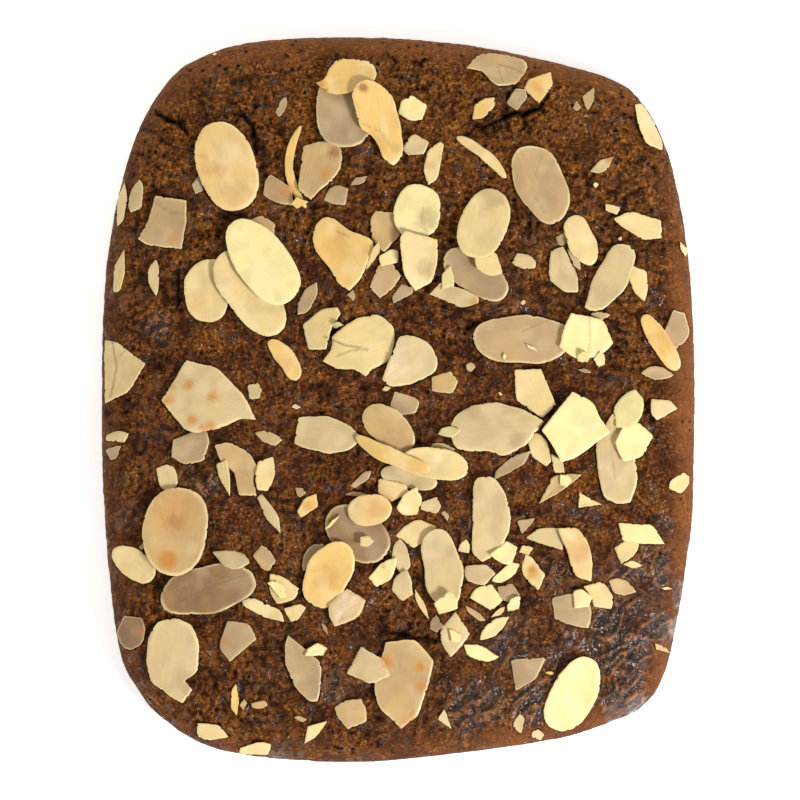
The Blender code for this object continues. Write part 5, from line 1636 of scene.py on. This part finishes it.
def dough_colour(tree, sockets):
    """Colour of skin and crumb with its darker and lighter layers, among them painted shade in the hollows
    of the relief and painted highlights on its ridges.
    """
    skin = ramp(tree, sockets["fine"], [(place, shade(*colour)) for place, colour in SKIN_STOPS])
    crumb = ramp(tree, sockets["fine"], [(place, shade(*colour)) for place, colour in CRUMB_STOPS])
    patchy = remap(tree, sockets["patches"], 0.52, 0.62, 0.0, 0.8)
    uneven = remap(tree, sockets["medium"], 0.34, 0.54, 0.25, 1.0)
    open_share = maths(tree, "MULTIPLY", maths(tree, "ADD", sockets["dry"], patchy), uneven)
    tinted = mix_colour(tree, open_share, skin, crumb)
    for source, low, high, strength, colour in DOUGH_TONE_AND_PAINTED_LIGHT_LAYERS:
        share = remap(tree, sockets[source], low, high, 0.0, strength)
        tinted = mix_colour(tree, share, tinted, shade(*colour))
    for source, low, high, strength, colour in GLOSS_PAINTED_LIGHT_LAYERS:
        share = remap(tree, sockets[source], low, high, 0.0, strength)
        share = maths(tree, "MULTIPLY", sockets["gloss"], share)
        tinted = mix_colour(tree, share, tinted, shade(*colour))
    for source, strength, colour in PLACE_LAYERS:
        tinted = mix_colour(tree, maths(tree, "MULTIPLY", sockets[source], strength), tinted, shade(*colour))
    return tinted


def dough_holes(tree, sockets):
    """Strength of the holes, painted black as shade: small ones in the open crumb and the hollows of the
    mesh.
    """
    holes = tree.nodes.new("ShaderNodeTexVoronoi")
    holes.inputs["Scale"].default_value = HOLE_SCALE
    holes.inputs["Randomness"].default_value = 1.0
    tree.links.new(sockets["where"], holes.inputs["Vector"])
    hole = remap(tree, holes.outputs["Distance"], 0.14, 0.34, 1.0, 0.0)
    hole = maths(tree, "MULTIPLY", hole, remap(tree, sockets["broad"], 0.46, 0.56, 0.0, 1.0))
    hole = maths(tree, "MULTIPLY", hole, remap(tree, sockets["dry"], 0.1, 0.6, 0.25, 1.0))
    return maths(tree, "MAXIMUM", hole, maths(tree, "MULTIPLY", sockets["hollow"], 0.95))


def glaze_dough(tree, shader, sockets, dark):
    """Coat of the glossy skin and its glints, and the roughness under it."""
    broad = remap(tree, sockets["broad"], 0.40, 0.56, 0.1, 1.0)
    medium = remap(tree, sockets["medium"], 0.50, 0.62, 0.0, 0.7)
    glaze = maths(tree, "ADD", sockets["gloss"], maths(tree, "MULTIPLY", broad, medium))
    glaze = maths(tree, "SUBTRACT", glaze, maths(tree, "MULTIPLY", dark, 0.8))
    glaze = maths(tree, "SUBTRACT", glaze, maths(tree, "MULTIPLY", sockets["rim"], 0.9))
    tree.links.new(glaze, shader.inputs["Coat Weight"])
    tree.links.new(remap(tree, glaze, 0.0, 0.8, 0.72, 0.38), shader.inputs["Roughness"])
    shader.inputs["Coat Roughness"].default_value = 0.09
    shader.inputs["Coat IOR"].default_value = 1.5
    shader.inputs["Specular IOR Level"].default_value = 0.10


def dough_material():
    """Dark spiced dough: chocolate skin, golden open crumb, pits painted black as shade, painted shade under
    the almonds, gloss.
    """
    material, tree, shader = new_material("baked_dough_skin")
    sockets = dough_sockets(tree)
    dark = dough_holes(tree, sockets)
    # holes and hollows painted black as shade
    tinted = mix_colour(tree, dark, dough_colour(tree, sockets), shade(*HOLE_SHADE_COLOUR))
    # painted shade under the almonds and just round their edges
    cover = maths(tree, "MULTIPLY", sockets["cover"], 0.75)
    tree.links.new(mix_colour(tree, cover, tinted, shade(*UNDER_ALMOND_SHADE_COLOUR)), shader.inputs["Base Color"])
    glaze_dough(tree, shader, sockets, dark)
    coarse = bump(tree, sockets["medium"], 0.7, 0.0020)
    pitted = bump(tree, maths(tree, "SUBTRACT", 1.0, dark), 0.7, 0.0006, coarse)
    tree.links.new(bump(tree, sockets["fine"], 0.9, 0.0010, pitted), shader.inputs["Normal"])
    tree.links.new(bump(tree, sockets["beads"], 0.55, 0.0010, coarse), shader.inputs["Coat Normal"])
    return material


def almond_material():
    """Almond flesh: soft satin with lengthwise grain, and faint near-white flecks painted in as small
    highlight specks.
    """
    material, tree, shader = new_material("almond_flesh_skin")
    tone = tree.nodes.new("ShaderNodeAttribute")
    tone.attribute_name = "tone"
    grain = tree.nodes.new("ShaderNodeAttribute")
    grain.attribute_name = "grain"
    stretch = tree.nodes.new("ShaderNodeMapping")
    stretch.inputs["Scale"].default_value = (0.16, 2.2, 1.0)
    tree.links.new(grain.outputs["Vector"], stretch.inputs["Vector"])
    streaks = noise_node(tree, stretch.outputs["Vector"], 1.0, 3.0, 0.6)
    flecks = noise_node(tree, grain.outputs["Vector"], 2.8, 2.0, 0.5)
    darker = tree.nodes.new("ShaderNodeHueSaturation")
    darker.inputs["Saturation"].default_value = 1.10
    darker.inputs["Value"].default_value = 0.88
    tree.links.new(tone.outputs["Color"], darker.inputs["Color"])
    streaks_share = remap(tree, streaks, 0.42, 0.68, 0.0, 0.42)
    streaked = mix_colour(tree, streaks_share, tone.outputs["Color"], darker.outputs["Color"])
    # near-white specks painted in as small highlights
    highlight_share = remap(tree, flecks, 0.64, 0.76, 0.0, 0.30)
    highlighted = mix_colour(tree, highlight_share, streaked, linear(HIGHLIGHT_FLECK_COLOUR))
    tree.links.new(highlighted, shader.inputs["Base Color"])
    shader.inputs["Roughness"].default_value = 0.42
    shader.inputs["Subsurface Weight"].default_value = 0.12
    shader.inputs["Subsurface Radius"].default_value = (1.0, 0.7, 0.4)
    shader.inputs["Subsurface Scale"].default_value = 0.0008
    rough = bump(tree, streaks, 0.25, 0.0002)
    tree.links.new(bump(tree, flecks, 0.15, 0.0001, rough), shader.inputs["Normal"])
    return material


# ---------------------------------------------------------------- stage

# Stage, in metres: the camera stands straight above the slab
CAMERA_LENS = 300.0
CAMERA_SENSOR = 36.0
CAMERA_CLIP_END = 20.0
VIEW_WIDTH = 0.200
VIEW_CENTRE = (0.00044, -0.00012)
FLOOR_REACH = 1.6
FLOOR_DROP = 0.0002
FLOOR_SHADE = 0.90
FLOOR_GLOW = 0.60
LIGHT_AIM = (0.0, 0.0, 0.01)
WHITE = (1.0, 1.0, 1.0)
WARM_WHITE = (1.0, 0.94, 0.86)
WORLD_COLOUR = (1.0, 0.95, 0.89)
WORLD_STRENGTH = 0.20

# Area lights: name, place, size, power and colour
LIGHTS = (
    ("key", (0.62, -0.46, 0.80), 0.22, 11.8, WHITE),
    ("left", (-1.0, -0.1, 0.75), 0.7, 2.8, WARM_WHITE),
    ("back", (0.2, 1.0, 0.75), 0.7, 5.4, WARM_WHITE),
    ("front", (-0.35, -1.0, 0.75), 0.7, 2.4, WARM_WHITE),
)


def floor_material():
    """Plain near-white studio floor."""
    material, _, shader = new_material("studio_floor")
    shader.inputs["Base Color"].default_value = (FLOOR_SHADE, FLOOR_SHADE, FLOOR_SHADE, 1.0)
    shader.inputs["Roughness"].default_value = 0.9
    shader.inputs["Specular IOR Level"].default_value = 0.0
    shader.inputs["Emission Color"].default_value = (*WHITE, 1.0)
    shader.inputs["Emission Strength"].default_value = FLOOR_GLOW
    return material


def add_floor():
    """Wide floor just under the slab."""
    mesh = bpy.data.meshes.new("floor")
    reach = FLOOR_REACH
    mesh.from_pydata(
        [(-reach, -reach, 0.0), (reach, -reach, 0.0), (reach, reach, 0.0), (-reach, reach, 0.0)],
        [], [(0, 1, 2, 3)],
    )
    mesh.materials.append(floor_material())
    floor = bpy.data.objects.new("floor", mesh)
    floor.location.z = -FLOOR_DROP
    bpy.context.scene.collection.objects.link(floor)


def add_area_light(name, place, size, power, colour):
    """A square area light aimed at the slab."""
    data = bpy.data.lights.new(name, "AREA")
    data.size = size
    data.energy = power
    data.color = colour
    light = bpy.data.objects.new(name, data)
    light.location = place
    light.rotation_euler = (Vector(LIGHT_AIM) - Vector(place)).to_track_quat("-Z", "Y").to_euler()
    bpy.context.scene.collection.objects.link(light)


def add_world():
    """Dim warm surroundings, shown with plain display colours."""
    world = bpy.data.worlds.new("studio")
    world.use_nodes = True
    background = world.node_tree.nodes["Background"]
    background.inputs["Color"].default_value = (*WORLD_COLOUR, 1.0)
    background.inputs["Strength"].default_value = WORLD_STRENGTH
    bpy.context.scene.world = world
    bpy.context.scene.view_settings.view_transform = "Standard"


def add_camera():
    """The camera straight above the slab."""
    data = bpy.data.cameras.new("camera")
    data.lens = CAMERA_LENS
    data.sensor_width = CAMERA_SENSOR
    data.clip_end = CAMERA_CLIP_END
    camera = bpy.data.objects.new("camera", data)
    distance = VIEW_WIDTH * CAMERA_LENS / CAMERA_SENSOR
    camera.location = (*VIEW_CENTRE, distance + WAIST_HEIGHT * MM)
    bpy.context.scene.collection.objects.link(camera)
    bpy.context.scene.camera = camera


# ---------------------------------------------------------------- the scene

def main():
    """Build the slab, its almonds and the stage."""
    dough = Dough()
    slab = build_slab(dough)
    slices, chips = build_almonds(dough)
    slab.data.materials.append(dough_material())
    flesh = almond_material()
    for item in slices + [chips]:
        item.data.materials.append(flesh)
    for item, slot in ((slab, "baked_dough"), (chips, "almond_flesh")):
        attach(item, "root")
        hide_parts("biscuit")
    add_floor()
    for light in LIGHTS:
        add_area_light(*light)
    add_world()
    add_camera()


main()
